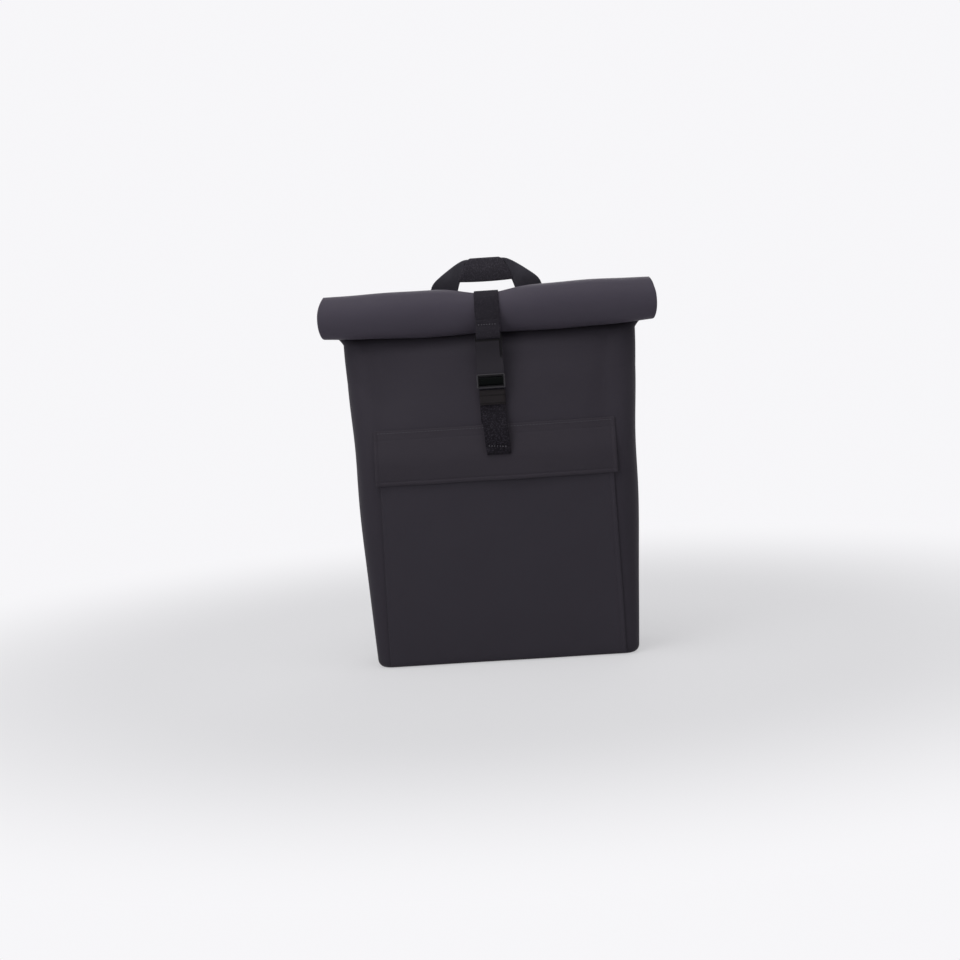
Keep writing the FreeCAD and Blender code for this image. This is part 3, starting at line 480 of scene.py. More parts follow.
# Seam tapes. The back panel is welded to the gussets under two flat tapes, each a little thicker
# along its middle, where the cut edges of the cloth lie under it.
seam_tape_half = 0.0055
tape_z = np.linspace(0.013, 0.408, 90)[:, None]
tape_across = np.linspace(-1, 1, 13)
for name, side in (("seam_tape_left", -1), ("seam_tape_right", 1)):
    x = side * seam_half_width + seam_tape_half * tape_across - side * 0.0075
    lift = 0.00055 + 0.0004 * np.exp(-(tape_across / 0.35) ** 2) + 0.00008 * np.sin(180 * tape_z)
    tape = np.stack([x + 0 * tape_z, back_face + lift, tape_z + 0 * x], axis=-1)
    cloth_sheet(name, "bag", tape, 0.0006, bag_cloth)

# Roll. The collar's two walls are rolled together towards the front, and the strap pinches the
# roll in the middle. Each wall is its own ply, and both show as a spiral at the ends.
roll_y = back_face - collar_setback - 0.027
roll_z = 0.454
roll_radius = 0.027
roll_step = 0.00275
roll_half_turns = 6
ply_gap = 0.0011
ply_thickness = 0.0013
strap_pinch = 0.0060
roll_belly_turn = math.radians(228)
roll_drop_ends = 0.0028
roll_drop_middle = 0.0013


def roll_drop(turn, x):
    """How far the roll hangs below its collar: nothing at the back, all of it from the top onwards,
    and most in the middle of its length."""
    middle = np.cos(0.5 * np.pi * x / roll_half_width) ** 2
    return soft_step(turn / (0.5 * np.pi)) * (roll_drop_ends + roll_drop_middle * middle)


def pinch(turn, x):
    """How far the strap pulls the roll down: all of it on top of the roll, none at its front."""
    return strap_pinch * np.exp(-(np.abs(x) / 0.036) ** 2.2) * clamped(np.sin(turn)) ** 2


def rolled(turn, x, offset):
    """Y and Z of the spiral. The radius falls evenly with the turn. Each half swells a little, the
    front is fuller away from the strap, the lower side sags, and the strap pulls the top down."""
    shallow = clamped(1 - turn / (roll_half_turns * np.pi))
    share = np.abs(x) / roll_half_width
    swell = 0.0016 * np.sin(np.pi * clamped(share)) - 0.0010 * share ** 3
    wave = 0.0004 * np.sin(30 * x + 2.0 * turn) + 0.0003 * np.sin(71 * x - turn)
    wave = wave * clamped(np.abs(x) / 0.04 - 0.5)
    belly = 0.0026 * np.exp(-((np.mod(turn, 2 * np.pi) - roll_belly_turn) / 0.55) ** 2)
    loose = 1 - np.exp(-(np.abs(x) / 0.045) ** 2.2)
    growth = 0.0028 * loose * (0.5 - 0.5 * np.cos(turn)) ** 0.7
    radius = roll_radius - roll_step * turn / np.pi + offset + (swell + wave + belly + growth) * shallow
    sag = 0.0048 * clamped(1 - share ** 2) * shallow
    lower_side = clamped(-np.sin(turn)) ** 1.5
    y = roll_y + radius * np.cos(turn)
    z = roll_z + radius * np.sin(turn) - roll_drop(turn, x) - pinch(turn, x) * shallow - sag * lower_side
    return y, z


# The roll is the body's cloth painted nearly twice as light: painted light for the stronger light it catches
# on top of the bag.
lit_roll_cloth = cloth_paint("lit_roll_cloth", (0.0830, 0.0725, 0.0950), (0.0975, 0.0860, 0.1120), 0.52)


def roll_ply(name, offset):
    """One wall of the roll: a straight rise out of the collar, then the spiral."""
    rise_steps, turn_steps = 6, 190
    turn = np.linspace(0, np.pi * roll_half_turns, turn_steps)
    turn = np.concatenate([np.zeros(rise_steps), turn])[:, None]
    rise = np.concatenate([np.linspace(collar_top - 0.004 - roll_z, -0.002, rise_steps),
                           np.zeros(turn_steps)])[:, None]
    side = np.linspace(-1, 1, 170)
    up, down = clamped(np.sin(turn)), clamped(-np.sin(turn))
    bulge = 0.0022 * np.cos(turn) ** 2 - 0.0052 * up ** 3 - 0.0026 * down ** 3 + 0.0004 * np.sin(2.3 * turn)
    x = side * (roll_half_width - 0.0010 * turn / np.pi + bulge * np.abs(side) ** 30)
    y, z = rolled(turn, x, offset)
    surface = np.stack([x, y, z + rise], axis=-1)
    return cloth_sheet(name, "bag", surface, ply_thickness, lit_roll_cloth)


roll_outer = roll_ply("roll_outer_ply", ply_gap)
roll_inner = roll_ply("roll_inner_ply", -ply_gap)
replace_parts(roll_outer, "roll_top")

# Pocket. A flat panel of the same cloth, sewn to the front along both side seams and the base. Its
# turned edge stands up as a thin welt.
pocket_bottom, pocket_top = 0.003, 0.282
pocket_thickness = 0.0016


def pocket_stand(x):
    """Flat, with a welt along the sides where the edge is turned in and a narrow groove beside it.
    The left side is pulled tight, so its welt hardly shows."""
    from_edge = seam_half_width - np.abs(x)
    welt = np.exp(-((from_edge - 0.0018) / 0.0018) ** 4)
    groove = np.exp(-((from_edge - 0.0048) / 0.0010) ** 2)
    tight = np.where(x > 0, 1.0, 0.12)
    return pocket_thickness * 0.5 + 0.0006 + (0.0004 * welt - 0.0004 * groove) * tight


x, z = np.meshgrid(np.linspace(-seam_half_width, seam_half_width, 260),
                   np.linspace(pocket_bottom, pocket_top, 150))
low_share = clamped((base_edge_radius - z) / base_edge_radius)
y = front(z) - front_relief(x, z) - pocket_stand(x) + base_edge_radius * (1 - np.sqrt(1 - low_share ** 2))
pocket_bow = 1.0 + 0.008 * np.cos(np.pi * z / pocket_top)
# The pocket is the body's cloth painted a little lighter: painted light that brightens the lower front.
pocket_cloth_painted_lighter = cloth_paint("pocket_cloth_painted_lighter", (0.0480, 0.0425, 0.0540), (0.0595, 0.0530, 0.0660), 0.56)
pocket = cloth_sheet("pocket_cloth", "bag", np.stack([x * pocket_bow, y, z], axis=-1), pocket_thickness,
                     pocket_cloth_painted_lighter)
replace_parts(pocket, "pocket_panel")

# Flap and its hem. The hem is sewn to the front above the pocket; the flap hangs from it over the
# pocket's lip to the fastener tape, with a turned edge round its three free sides.
flap_half_width = 0.154
flap_bottom = 0.238
flap_hinge_height = 0.301
flap_hem_top = 0.306
flap_free_top = 0.262
flap_fold_line = 0.2945
flap_thickness = 0.0016
flap_cloth = cloth_paint("flap_cloth", (0.0450, 0.0393, 0.0493), (0.0555, 0.0487, 0.0600), 0.54)


def flap_stand(x, z):
    """Flat on the bag at the hem, then out over the pocket's lip; thicker along the turned edge."""
    lip = soft_step((flap_hinge_height - z) / 0.038)
    free = clamped((flap_free_top - z) / (flap_free_top - flap_bottom))
    side, low = flap_half_width - np.abs(x), z - flap_bottom
    rim = np.maximum(np.exp(-((side - 0.0018) / 0.0017) ** 4), np.exp(-((low - 0.0018) / 0.0017) ** 4))
    groove = np.maximum(np.exp(-((side - 0.0046) / 0.0009) ** 2), np.exp(-((low - 0.0046) / 0.0009) ** 2))
    top_line = np.exp(-((z - flap_fold_line) / 0.0010) ** 2)
    wave = (0.0008 * np.sin(24 * x + 0.6) + 0.0005 * np.sin(61 * x)) * free
    curl = 0.0014 * clamped((np.abs(x) - 0.140) / 0.014) ** 2 * free
    return 0.0011 + 0.0045 * lip + wave + curl + 0.0005 * rim - 0.0004 * groove - 0.00025 * top_line


def flap_relief(x, z):
    """The front's relief under the flap: two fifths from its own height, the rest from the hinge's."""
    return 0.4 * front_relief(x, z) + 0.6 * front_relief(x, np.full_like(z, flap_hinge_height))


x, z = np.meshgrid(np.linspace(-flap_half_width, flap_half_width, 260),
                   np.linspace(flap_bottom, flap_hem_top, 84))
y = front(z) - flap_relief(x, z) - flap_stand(x, z)
flap = cloth_sheet("flap_sheet", None, np.stack([x, y, z], axis=-1), flap_thickness, flap_cloth)
front(flap_hinge_height)
front(flap_hinge_height)
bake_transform(flap)
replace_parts(flap, "flap_hem", "pocket_flap")

# Webbing. A band of herringbone webbing follows a soft line in Y and Z, with rounded selvedges. The
# weave is a set of slanted ribs that turn at each chevron, with pale flecks in the yarn.
webbing_width = 0.030
webbing_thickness = 0.0015


def webbing_paint(name, dark, pale, flecks):
    """Sine ribs whose phase goes up and down across the width, which gives the chevrons, with yarn
    lines, flecks of a stated strength and a cloudy wear."""
    paint = Paint(name, roughness=0.82, Specular_IOR_Level=0.06)
    along, across = paint.cloth_place()
    vector = paint.place()[0]
    chevron = (across / 0.0075).math("PINGPONG", 0.5) * 5.2
    ribs = ((along / 0.0024 + chevron) * (2 * math.pi)).sin()
    yarn = ((across / 0.00085) * (2 * math.pi)).sin()
    speck = paint.noise(vector, 620.0, 2.0, 0.7)
    fleck = speck.smooth(0.50, 0.62) * (ribs * 0.4 + 0.6) * flecks
    wear = paint.noise(vector, 40.0, 3.0, 0.6)
    share = fleck * 0.85 + ribs * 0.08 + wear * 0.20
    paint.colour(paint.mix(share, dark, pale))
    paint.bump(ribs * 0.5 + yarn * 0.22 + speck * 0.8, 0.00035, 0.75)
    return paint


webbing = webbing_paint("webbing", (0.0100, 0.0085, 0.0115), (0.0800, 0.0720, 0.0900), 0.75)
strap_webbing = webbing_paint("strap_webbing", (0.0265, 0.0235, 0.0300), (0.0780, 0.0710, 0.0880), 0.45)
leg_webbing = webbing_paint("leg_webbing", (0.0780, 0.0735, 0.0880), (0.1250, 0.1190, 0.1400), 0.25)
grip_webbing = webbing_paint("grip_webbing", (0.0500, 0.0455, 0.0560), (0.1550, 0.1430, 0.1700), 0.65)


def soft_line(points, rounds=4):
    """Corner cutting: each round puts points a quarter in from both ends of every stretch."""
    line = np.array(points, dtype=float)
    for _ in range(rounds):
        first, second = line[:-1] * 0.75 + line[1:] * 0.25, line[:-1] * 0.25 + line[1:] * 0.75
        cut = np.stack([first, second], axis=1).reshape(-1, line.shape[1])
        line = np.vstack([line[:1], cut[1:-1], line[-1:]])
    return line


def line_lengths(line):
    """Distance along a line of points, at each point."""
    return np.concatenate([[0.0], np.cumsum(np.linalg.norm(np.diff(line, axis=0), axis=1))])


def webbing_band(name, body, line, paint, middle=None, width=webbing_width, thickness=webbing_thickness):
    """Webbing along a line in Y and Z. middle gives the band's middle in X at each point."""
    side = np.linspace(-0.5, 0.5, 15) * width
    middle = np.zeros(len(line)) if middle is None else middle
    x = side + middle[:, None]
    surface = np.stack([x, line[:, :1] + 0 * x, line[:, 1:] + 0 * x], axis=-1)
    along = line_lengths(line)[:, None] + 0 * x
    return cloth_sheet(name, body, surface, thickness, paint, along, side + 0 * x)


def stitches(name, body, starts, step, radius, paint):
    """A row of sewn stitches: each is a thin closed bead from its start along step."""
    step = np.asarray(step, dtype=float)
    direction = step / np.linalg.norm(step)
    helper = np.array([0.0, 1.0, 0.0]) if abs(direction[1]) < 0.9 else np.array([1.0, 0.0, 0.0])
    first = np.cross(direction, helper)
    first /= np.linalg.norm(first)
    second = np.cross(direction, first)
    places = np.array([0.0, 0.12, 0.35, 0.65, 0.88, 1.0])
    swell = np.array([0.25, 0.8, 1.0, 1.0, 0.8, 0.25])
    angle = np.linspace(0, 2 * np.pi, 8, endpoint=False)
    ring = np.cos(angle)[:, None] * first + np.sin(angle)[:, None] * second
    bead = places[:, None, None] * step + swell[:, None, None] * radius * ring
    faces, vertices = [], []
    for index, start in enumerate(starts):
        base = index * bead.shape[0] * 8
        vertices.append((bead + np.asarray(start)).reshape(-1, 3))
        faces += (grid_faces(len(places), 8, close_columns=True) + base).tolist()
        last = base + (len(places) - 1) * 8
        faces += [list(range(base, base + 8)), list(range(last, last + 8))]
    return link_piece(name, body, np.vstack(vertices), faces, paint)


# Threads. The webbing is sewn with pale thread, and the flap's hem with one row of darker thread
# along its top.


def thread_paint(name, scale, dark, pale, **settings):
    """Noise between two colours, with scale cells per metre."""
    paint = Paint(name, **settings)
    paint.colour(paint.mix(paint.noise(paint.place()[0], scale), dark, pale))
    return paint


thread = thread_paint("thread", 500.0, (0.36, 0.35, 0.38), (0.56, 0.55, 0.59))
hem_thread = thread_paint("hem_thread", 400.0, (0.060, 0.055, 0.068), (0.105, 0.098, 0.115))
hem_row_z = 0.3036
hem_xs = np.linspace(-flap_half_width + 0.004, flap_half_width - 0.0065, 74)
hem_zs = np.full_like(hem_xs, hem_row_z)
hem_ys = front(hem_row_z) - flap_relief(hem_xs, hem_zs) - flap_stand(hem_xs, hem_zs) - 0.5 * flap_thickness
stitches("flap_hem_stitches", "bag", [(x, y, hem_row_z) for x, y in zip(hem_xs, hem_ys)],
                 (0.0026, 0.0, 0.0), 0.00030, hem_thread)

# Closure strap. It is sewn to the back, goes over the roll, and is folded round the bar at the top
# of the flat hook and sewn to itself, on the line that touches the roll and the front's anchor.
strap_foot = 0.405
strap_radius = roll_radius + 0.002 + 0.0003 + webbing_thickness / 2
anchor_bottom, anchor_top = 0.3075, 0.317
anchor_standoff = 0.0045
anchor_y = front(anchor_top) - anchor_standoff
lean = math.atan2(anchor_top - roll_z, roll_y - anchor_y) \
    + math.acos(strap_radius / math.hypot(anchor_y - roll_y, anchor_top - roll_z))
closure_start = (roll_y - strap_radius * math.cos(lean), roll_z + strap_radius * math.sin(lean))


def on_closure(along, out):
    """Y and Z of a point on the closure: a distance down along it and one out of the bag."""
    return (closure_start[0] - math.sin(lean) * along - math.cos(lean) * out,
            closure_start[1] - math.cos(lean) * along + math.sin(lean) * out)


def webbing_fold(along, out, radius, way):
    """Points of a half turn round a bar; way is 1 for a fold at the lower end, -1 at the upper."""
    return [on_closure(along + way * radius * math.cos(angle), out + radius * math.sin(angle))
            for angle in np.linspace(-math.pi / 2, math.pi / 2, 13)]


hook_middle = 0.003
loop_radius = 0.0015 + 0.0003 + webbing_thickness / 2
loop_centre = 0.0472 - loop_radius - webbing_thickness / 2
stitch_along = 0.0289
back_out, front_out = hook_middle - loop_radius, hook_middle + loop_radius
turns = np.linspace(0.0, math.pi - lean, 40)
strap_lift = 0.0006 * np.sin(turns)
over_roll = np.column_stack([roll_y + (strap_radius + strap_lift) * np.cos(turns),
                             roll_z + (strap_radius + strap_lift) * np.sin(turns) - pinch(turns, 0.0)
                             - roll_drop(turns, 0.0)])
strap_back_y = back_face + webbing_thickness / 2
back_run = soft_line([(strap_back_y, strap_foot), (strap_back_y, 0.416),
                      (roll_y + strap_radius, 0.444), tuple(over_roll[0])])
loop = webbing_fold(loop_centre, hook_middle, loop_radius, 1)
inward = [on_closure(along, out) for along, out in
          ((0.009, -0.0003), (0.014, 0.0), (0.022, 0.0), (0.032, back_out), (0.038, back_out))]
outward = [on_closure(along, out) for along, out in
           ((0.0395, front_out), (0.036, front_out - 0.0003), (stitch_along, webbing_thickness + 0.0005),
            (0.0225, webbing_thickness + 0.00015))]
strap_line = np.vstack([back_run[:-1], over_roll, soft_line(inward, 3), loop, soft_line(outward, 3)])
closure_strap = webbing_band("closure_strap_band", "bag", strap_line, strap_webbing)
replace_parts(closure_strap, "closure_strap")
join_y, join_z = on_closure(stitch_along - 0.0005, webbing_thickness * 1.5 + 0.0015)
stitch_xs = np.linspace(-0.0117, 0.0093, 7)
stitch_length, stitch_radius = 0.0006, 0.0005
join_row = stitches("strap_join_stitches", "bag", [(x, join_y, join_z) for x in stitch_xs],
                    (stitch_length, 0.0, 0.0), stitch_radius, thread)

# Lower strap and its free end. The webbing is sewn to the front above the flap, goes up behind the
# frame, round its bar, down through the keeper and over the flap, and ends in a folded hem.
bar_along = 0.1021
bar_loop_radius = 0.0013 + 0.0003 + webbing_thickness / 2
keeper_start, keeper_end = 0.1126, 0.133
tail_start = keeper_end + 0.0013
tail_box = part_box("strap_tail")
tail_tip_z = tail_box[0][2]
tail_tip_y = tail_box[0][1] + webbing_thickness * 1.5
tail_lean = math.tan(math.radians(4.0))
tail_shift = 0.0009
bar_loop = webbing_fold(bar_along, 0.0, bar_loop_radius, -1)
lower_line = soft_line([
    (front(anchor_bottom) - 0.0008, anchor_bottom), (front(anchor_top) - 0.0016, anchor_top),
    on_closure(keeper_end, -bar_loop_radius), on_closure(keeper_start, -bar_loop_radius),
    on_closure(bar_along + 0.001, -bar_loop_radius)])
tail_line = soft_line([
    on_closure(bar_along + 0.001, bar_loop_radius), on_closure(keeper_start, bar_loop_radius),
    on_closure(keeper_end, bar_loop_radius), on_closure(tail_start + 0.002, bar_loop_radius),
    (tail_tip_y - 0.0022, 0.300), (tail_tip_y, tail_tip_z)])
tail_line = np.vstack([lower_line[:-1], bar_loop, tail_line[1:]])
pivot_z = on_closure(tail_start, bar_loop_radius)[1]
after_bar = np.arange(len(tail_line)) > len(lower_line)
below = np.clip(pivot_z - tail_line[:, 1], 0, None) * after_bar
between = clamped((on_closure(bar_along, 0)[1] - tail_line[:, 1]) / 0.03) * after_bar
tail_middle = below * tail_lean + tail_shift * between
lower_strap = webbing_band("lower_strap_band", None, tail_line, webbing, tail_middle)
on_closure(tail_start, 0)[0]
pivot_z + 0.0010
on_closure(tail_start, 0)[0]
pivot_z - 0.0035
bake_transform(lower_strap)
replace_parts(lower_strap, "lower_strap", "strap_tail")
hem_height = 0.012
hem_line = tail_line[(tail_line[:, 1] < tail_tip_z + hem_height) & after_bar]
hem_line = np.column_stack([hem_line[:, 0] - webbing_thickness, hem_line[:, 1]])
hem_middle = (pivot_z - hem_line[:, 1]) * tail_lean + tail_shift
tail_hem = webbing_band("tail_hem", "tail", hem_line, webbing, hem_middle, webbing_width - 0.0006)
hem_stitch_z = tail_tip_z + hem_height - 0.0022
hem_stitch_y = hem_line[0][0] - webbing_thickness / 2
hem_stitch_x = (pivot_z - hem_stitch_z) * tail_lean + tail_shift
hem_row = stitches("tail_hem_stitches", "tail",
                   [(x + hem_stitch_x, hem_stitch_y, hem_stitch_z - x * tail_lean) for x in stitch_xs],
                   (stitch_length, 0.0, -stitch_length * tail_lean), stitch_radius, thread)

# Keeper. A closed band of ribbed elastic holds both layers of the webbing below the frame.
elastic = Paint("elastic", roughness=0.8, Specular_IOR_Level=0.08)
elastic_across = elastic.cloth_place()[1]
elastic_vector = elastic.place()[0]
elastic_ribs = ((elastic_across / 0.0009) * (2 * math.pi)).sin()
elastic_lines = ((elastic_across / 0.0102 + 0.2).math("PINGPONG", 0.5)).smooth(0.0, 0.14)
elastic_specks = elastic.noise(elastic_vector, 1100.0, 2.0, 0.6)
elastic.colour(elastic.mix(elastic_lines * (elastic_specks * 0.6 + 0.4), (0.0180, 0.0158, 0.0170),
                           (0.0385, 0.0335, 0.0355)))
elastic.bump(elastic_ribs * 0.6 + elastic_specks * 0.5 + elastic_lines * 0.8, 0.0003, 0.8)


def superellipse(angle, half_wide, half_thick, power):
    """Points of a rounded flat section: the cosine and the sine of the angle, each to a power."""
    wide, thick = np.cos(angle), np.sin(angle)
    return (half_wide * np.sign(wide) * np.abs(wide) ** power,
            half_thick * np.sign(thick) * np.abs(thick) ** power)


def ring_band(name, body, rings, paint, along, across):
    """Closed band: rings is rows of closed loops that go up the outside and come back inside, so
    that the last row joins the first."""
    rows, columns = rings.shape[:2]
    faces = grid_faces(rows + 1, columns, close_columns=True) % (rows * columns)
    uv = np.stack([np.broadcast_to(along, (rows, columns)).reshape(-1)[faces],
                   np.broadcast_to(across, (rows, columns)).reshape(-1)[faces]], axis=-1)
    return link_piece(name, body, rings.reshape(-1, 3), faces, paint, uv)


keeper_wall = 0.0012
keeper_rows = 14
keeper_half_x = webbing_width / 2 + 0.0003 + keeper_wall / 2
keeper_half_out = bar_loop_radius + webbing_thickness / 2 + 0.0003 + keeper_wall / 2
around = np.linspace(0, 2 * np.pi, 72, endpoint=False)
loop_x, loop_out = superellipse(around, keeper_half_x, keeper_half_out, 0.28)
edge_turn = np.linspace(0, np.pi, 6)
keeper_low, keeper_high = keeper_start + keeper_wall, keeper_end - keeper_wall
heights = np.concatenate([np.linspace(keeper_low, keeper_high, keeper_rows),
                          keeper_high + 0.5 * keeper_wall * np.sin(edge_turn)[1:-1],
                          np.linspace(keeper_high, keeper_low, keeper_rows),
                          keeper_low - 0.5 * keeper_wall * np.sin(edge_turn)[1:-1]])
sides = np.concatenate([np.ones(keeper_rows), np.cos(edge_turn)[1:-1],
                        -np.ones(keeper_rows), -np.cos(edge_turn)[1:-1]])
grow_x = loop_x + np.outer(sides, np.cos(around) * keeper_wall / 2) + tail_shift
grow_out = loop_out + np.outer(sides, np.sin(around) * keeper_wall / 2)
keeper_y, keeper_z = on_closure(heights[:, None], grow_out)
keeper = ring_band("keeper_band", "bag", np.stack([grow_x, keeper_y, keeper_z], axis=-1), elastic,
                   around * keeper_half_x / 2, heights[:, None])
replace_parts(keeper, "strap_keeper")

# Handle. The grip is folded thick webbing whose ends are cut on a slant; each leg is flat webbing
# that flares out from it and goes down to a sewn eye round its latch's bar.
grip_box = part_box("handle_grip")
eye_y = (grip_box[0][1] + grip_box[1][1]) / 2
edge_round = 0.0004
grip_top, grip_bottom = grip_box[1][2] - edge_round, grip_box[0][2] + edge_round
grip_bottom_half, grip_top_half = grip_box[1][0] - edge_round, 0.0242 - edge_round
eye_z = 0.43151
eye_radius = 0.0026
eye_half = 0.009
leg_bow_start = 0.466
leg_bow = 0.0035
grip_thickness, leg_thickness = 0.0034, 0.0017
shade_line_radius = 0.0006
hook_spacing = 0.072

share, side = np.meshgrid(np.linspace(0, 1, 26), np.linspace(-1, 1, 60), indexing="ij")
x = side * (grip_bottom_half + (grip_top_half - grip_bottom_half) * share)
z = grip_bottom + (grip_top - grip_bottom) * share + 0.0010 * (side ** 2 - 1) * (1 - share)
z -= 0.0030 * share ** 4 * clamped((np.abs(side) - 0.78) / 0.22) ** 2
y = eye_y - 0.0009 * np.sin(np.pi * share) + 0 * x
grip = cloth_sheet("grip_fold", "handle", np.stack([x, y, z], axis=-1), grip_thickness, grip_webbing, x, z)
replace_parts(grip, "handle_grip")
# A thin near-black cord along each slanted end of the grip is painted shade: it stands for the shadow line
# at the grip's fold.
grip_end_shade_paint = thread_paint("grip_end_shade_paint", 700.0, (0.0050, 0.0045, 0.0055),
                           (0.0150, 0.0138, 0.0165), roughness=0.8, Specular_IOR_Level=0.2)
for end, word in ((-1, "left"), (1, "right")):
    foot = np.array([end * (grip_bottom_half - 0.0006), eye_y - 0.0016, grip_bottom + 0.0010])
    head = np.array([end * (grip_top_half + 0.0012), eye_y - 0.0016, grip_top - 0.0024])
    shade_line = stitches("grip_end_seam_" + word, "handle", [foot], head - foot, shade_line_radius, grip_end_shade_paint)


def handle_leg(name, side):
    """Two soft side lines, from the grip's slanted end down to the eye, then once round the bar. Beside
    the grip the leg bows forward by a squared sine of its height above the roll."""
    eye_top = eye_z + 0.0050
    outer = soft_line([
        (grip_top_half - 0.005, grip_top - 0.0006), (grip_top_half + 0.0065, grip_top - 0.0006),
        (0.0600, grip_top - 0.0210), (0.0700, grip_top - 0.0300), (0.0730, grip_top - 0.0400),
        (0.0860, 0.4580), (0.0810, 0.4470), (hook_spacing + eye_half, eye_top)])
    inner = soft_line([
        (grip_bottom_half - 0.005, grip_bottom + 0.0012), (grip_bottom_half - 0.001, grip_bottom),
        (0.0372, 0.4795), (0.0388, 0.4735), (0.0450, 0.4665),
        (0.0575, 0.4570), (0.0630, 0.4470), (hook_spacing - eye_half, eye_top)])
    angle = np.linspace(0.5, 2 * np.pi - 0.5, 26)
    eye_line = np.column_stack([eye_y - eye_radius * np.sin(angle), eye_z + eye_radius * np.cos(angle)])
    back_line = np.array([(eye_y + 0.0018, eye_z + 0.0052), (eye_y + 0.0018, eye_z + 0.016)])
    turn_line = np.vstack([eye_line, back_line])
    across = np.linspace(0, 1, 21)
    x = inner[:, :1] * (1 - across) + outer[:, :1] * across
    z = inner[:, 1:] * (1 - across) + outer[:, 1:] * across
    above_roll = clamped((z - leg_bow_start) / (grip_top - leg_bow_start))
    beside_grip = soft_step((x - grip_bottom_half) / 0.014)
    y = eye_y - leg_bow * np.sin(np.pi * above_roll) ** 2 * beside_grip
    eye_x = (hook_spacing - eye_half) + 2 * eye_half * across + 0 * turn_line[:, :1]
    x = np.vstack([x, eye_x])
    y = np.vstack([y, turn_line[:, :1] + 0 * eye_x])
    z = np.vstack([z, turn_line[:, 1:] + 0 * eye_x])
    surface = np.stack([side * x, y, z], axis=-1)
    middle = surface[:, len(across) // 2]
    along = line_lengths(middle)[:, None] + 0 * x
    width = (across - 0.5) * webbing_width + 0 * x
    leg = cloth_sheet(name, "handle", surface, leg_thickness, leg_webbing, along, width)
    return leg


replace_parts(handle_leg("handle_leg_band_right", 1), "handle_leg_right")
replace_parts(handle_leg("handle_leg_band_left", -1), "handle_leg_left")

# Hard parts. The metal and plastic parts keep their CAD solids, and each kind gets its own finish.


def hard_paint(name, dark, pale, rough, metallic, grain):
    """Hard surface: cloudy colour, uneven gloss and a fine grain; grain is its height in metres."""
    paint = Paint(name, roughness=rough, metallic=metallic)
    vector = paint.place()[0]
    clouds = paint.noise(vector, 30.0, 4.0, 0.6)
    fine = paint.noise(vector, 1600.0, 2.0, 0.5)
    paint.colour(paint.mix(clouds * 0.7 + fine * 0.3, dark, pale))
    paint.rough(clouds * 0.12 + fine * 0.06 + (rough - 0.09))
    paint.bump(fine + clouds * 0.5, grain, 0.5)
    return paint


def dress(paint, *nodes):
    """Give the CAD solids of these nodes one material."""
    for node in nodes:
        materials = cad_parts[node].data.materials
        materials.clear()
        materials.append(paint.material)


# Closure hook. Its colour goes by place and carries painted light: painted shade darker towards its
# top, near-black painted shade in the webbing's slot and along the side slit, a painted highlight on
# the rim of the frame and painted shade on the rim's inner half.
# Colours of the hook's painted light and shade; the plate's two colours also carry its random tone.
hook_dark_tone_and_shade, hook_pale_tone_and_light = (0.0205, 0.0178, 0.0230), (0.0375, 0.0335, 0.0410)
rim_highlight_colour, rim_inner_shade_colour = (0.065, 0.062, 0.068), (0.008, 0.0075, 0.0085)
slot_slit_shade_colour = (0.0022, 0.0020, 0.0025)
slit_x, slit_end_along, slot_along = 0.0151, 0.0710, 0.0480
rim_start_along, rim_end_along = 0.0925, 0.1120
hook_paint = Paint("hook_metal", roughness=0.4, metallic=0.0, Specular_IOR_Level=0.10)
hook_vector, (hook_x, hook_y, hook_z) = hook_paint.place()
hook_along = (hook_y - closure_start[0]) * -math.sin(lean) + (hook_z - closure_start[1]) * -math.cos(lean)
# Masks for the painted shade along the side slit and in the webbing's slot.
from_slit = (hook_x - slit_x).abs().smooth(0.0010, 0.0021)
beyond_slit = hook_along.smooth(slit_end_along - 0.001, slit_end_along + 0.002)
below_slot = hook_along.smooth(slot_along + 0.0010, slot_along + 0.0034)
worn = hook_paint.noise(hook_vector, 60.0, 4.0, 0.6)
in_frame = hook_along.smooth(rim_start_along, rim_start_along + 0.0006)
# Mask of the painted highlight on the rim's outer edges; the rim's inner half gets painted shade.
rim_highlight_mask = hook_x.abs().smooth(0.0164, 0.0168).math(
    "MAXIMUM", hook_along.smooth(rim_end_along - 0.0024, rim_end_along - 0.0020)).math(
    "MAXIMUM", 1 - hook_along.smooth(rim_start_along + 0.0014, rim_start_along + 0.0018))
free_of_painted_shade = from_slit.math("MAXIMUM", beyond_slit) * below_slot
# The plate: random tone mixed with painted shade that darkens it towards its top.
plate_colour = hook_paint.mix(worn * 0.3 + hook_along.smooth(0.052, 0.090) * 0.7, hook_dark_tone_and_shade, hook_pale_tone_and_light)
shaded = hook_paint.mix(free_of_painted_shade, slot_slit_shade_colour, plate_colour)
rim_painted_light = hook_paint.mix(rim_highlight_mask, rim_inner_shade_colour, rim_highlight_colour)
hook_paint.colour(hook_paint.mix(in_frame, shaded, rim_painted_light))
hook_paint.rough(worn * 0.15 + 0.34)
hook_paint.bump(hook_paint.noise(hook_vector, 1500.0, 2.0, 0.5) + worn, 0.00003, 0.5)
dress(hook_paint, "closure_hook")
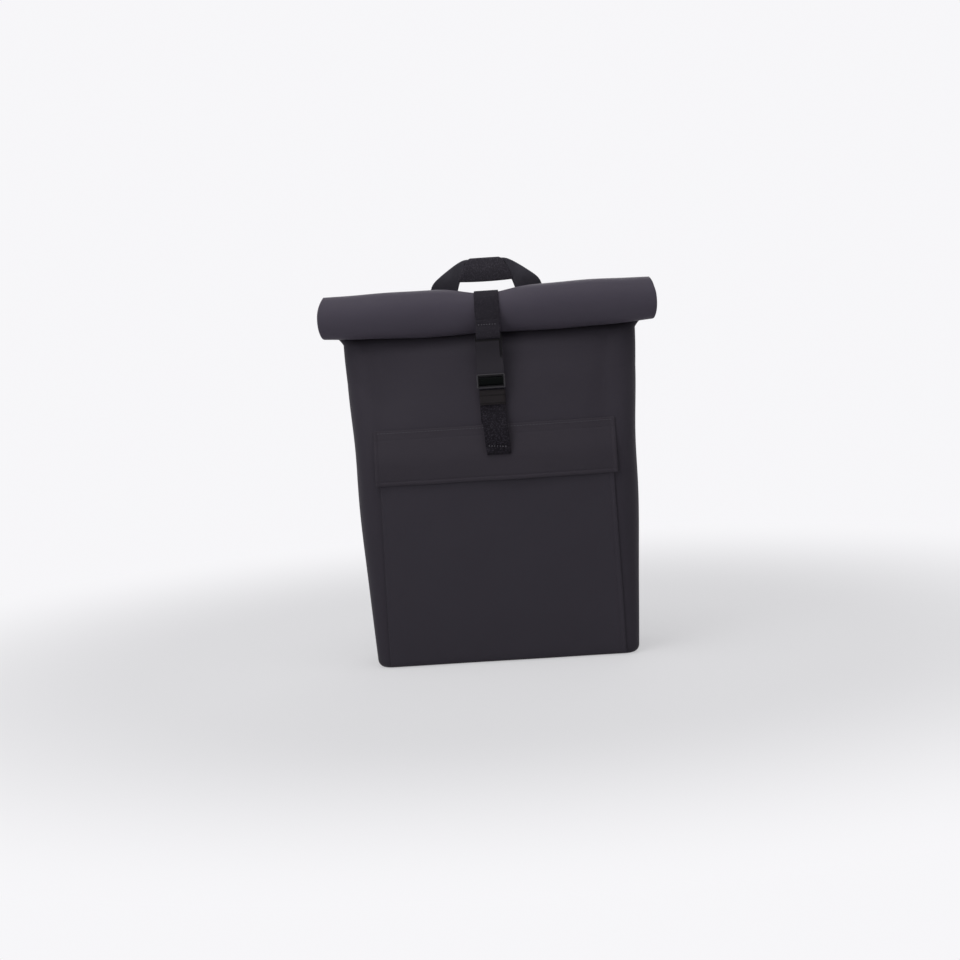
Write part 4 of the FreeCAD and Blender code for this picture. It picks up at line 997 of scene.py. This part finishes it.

# Frame bar. A flat near-black sleeve sits on the frame's front bar and fills its window; its section
# is a superellipse. It is partly the bar's black face and partly painted shade: a dark piece over the
# shaded webbing in the window above and below the bar. The bar behind it has the same finish.
bar_paint = hard_paint("bar_metal", (0.0022, 0.0027, 0.0026), (0.0045, 0.0056, 0.0051), 0.45, 0.0, 0.00001)
bar_paint.shader.inputs["Specular IOR Level"].default_value = 0.03
dress(bar_paint, "strap_bar")
sleeve_half_long, sleeve_half_thick, sleeve_half_x = 0.0049, 0.00165, 0.0153
sleeve_out = 0.0050
sleeve_rows, sleeve_columns = 40, 48
sleeve_turn = np.linspace(0, 2 * np.pi, sleeve_columns, endpoint=False)
section_long, section_out = superellipse(sleeve_turn, sleeve_half_long, sleeve_half_thick, 0.7)
sleeve_x = np.linspace(-sleeve_half_x, sleeve_half_x, sleeve_rows)[:, None]
sleeve_y, sleeve_z = on_closure(bar_along + section_long, sleeve_out + section_out)
sleeve = np.stack([sleeve_x + 0 * sleeve_y, sleeve_y + 0 * sleeve_x, sleeve_z + 0 * sleeve_x], axis=-1)
sleeve_faces = grid_faces(sleeve_rows, sleeve_columns, close_columns=True).tolist()
sleeve_faces += [list(range(sleeve_columns)),
                 list(range((sleeve_rows - 1) * sleeve_columns, sleeve_rows * sleeve_columns))]
bar_sleeve_and_window_shade = link_piece("bar_sleeve_and_window_shade", "bag", sleeve.reshape(-1, 3), sleeve_faces, bar_paint)

# Back and inside. Black plastic hooks, latches and carriage, grey inserts, metal rails, steel screws,
# washers and pins, and the boards and fastener tapes that the cloth hides.
black_plastic = hard_paint("black_plastic", (0.014, 0.014, 0.015), (0.022, 0.022, 0.0235), 0.5, 0.0, 0.00006)
dress(black_plastic, "rack_hook_left", "rack_hook_right", "latch_left", "latch_right",
      "lower_carriage", "lower_hook")
dress(hard_paint("rubber_insert", (0.050, 0.050, 0.052), (0.066, 0.066, 0.068), 0.75, 0.0, 0.00005),
      "tube_insert_left", "tube_insert_right")
dress(hard_paint("rail_metal", (0.20, 0.20, 0.21), (0.27, 0.27, 0.28), 0.38, 1.0, 0.00002),
      "upper_rail", "lower_rail")
dress(hard_paint("steel", (0.50, 0.50, 0.50), (0.66, 0.66, 0.65), 0.3, 1.0, 0.00001),
      "rail_screws", "rail_washers", "latch_pin_left", "latch_pin_right")
dress(hard_paint("board", (0.085, 0.085, 0.087), (0.11, 0.11, 0.112), 0.6, 0.0, 0.00006),
      "back_board", "base_board", "mouth_stiffener")
dress(hard_paint("fastener_tape", (0.010, 0.010, 0.011), (0.028, 0.028, 0.030), 0.9, 0.0, 0.0005),
      "pocket_loop_tape", "flap_hook_tape")
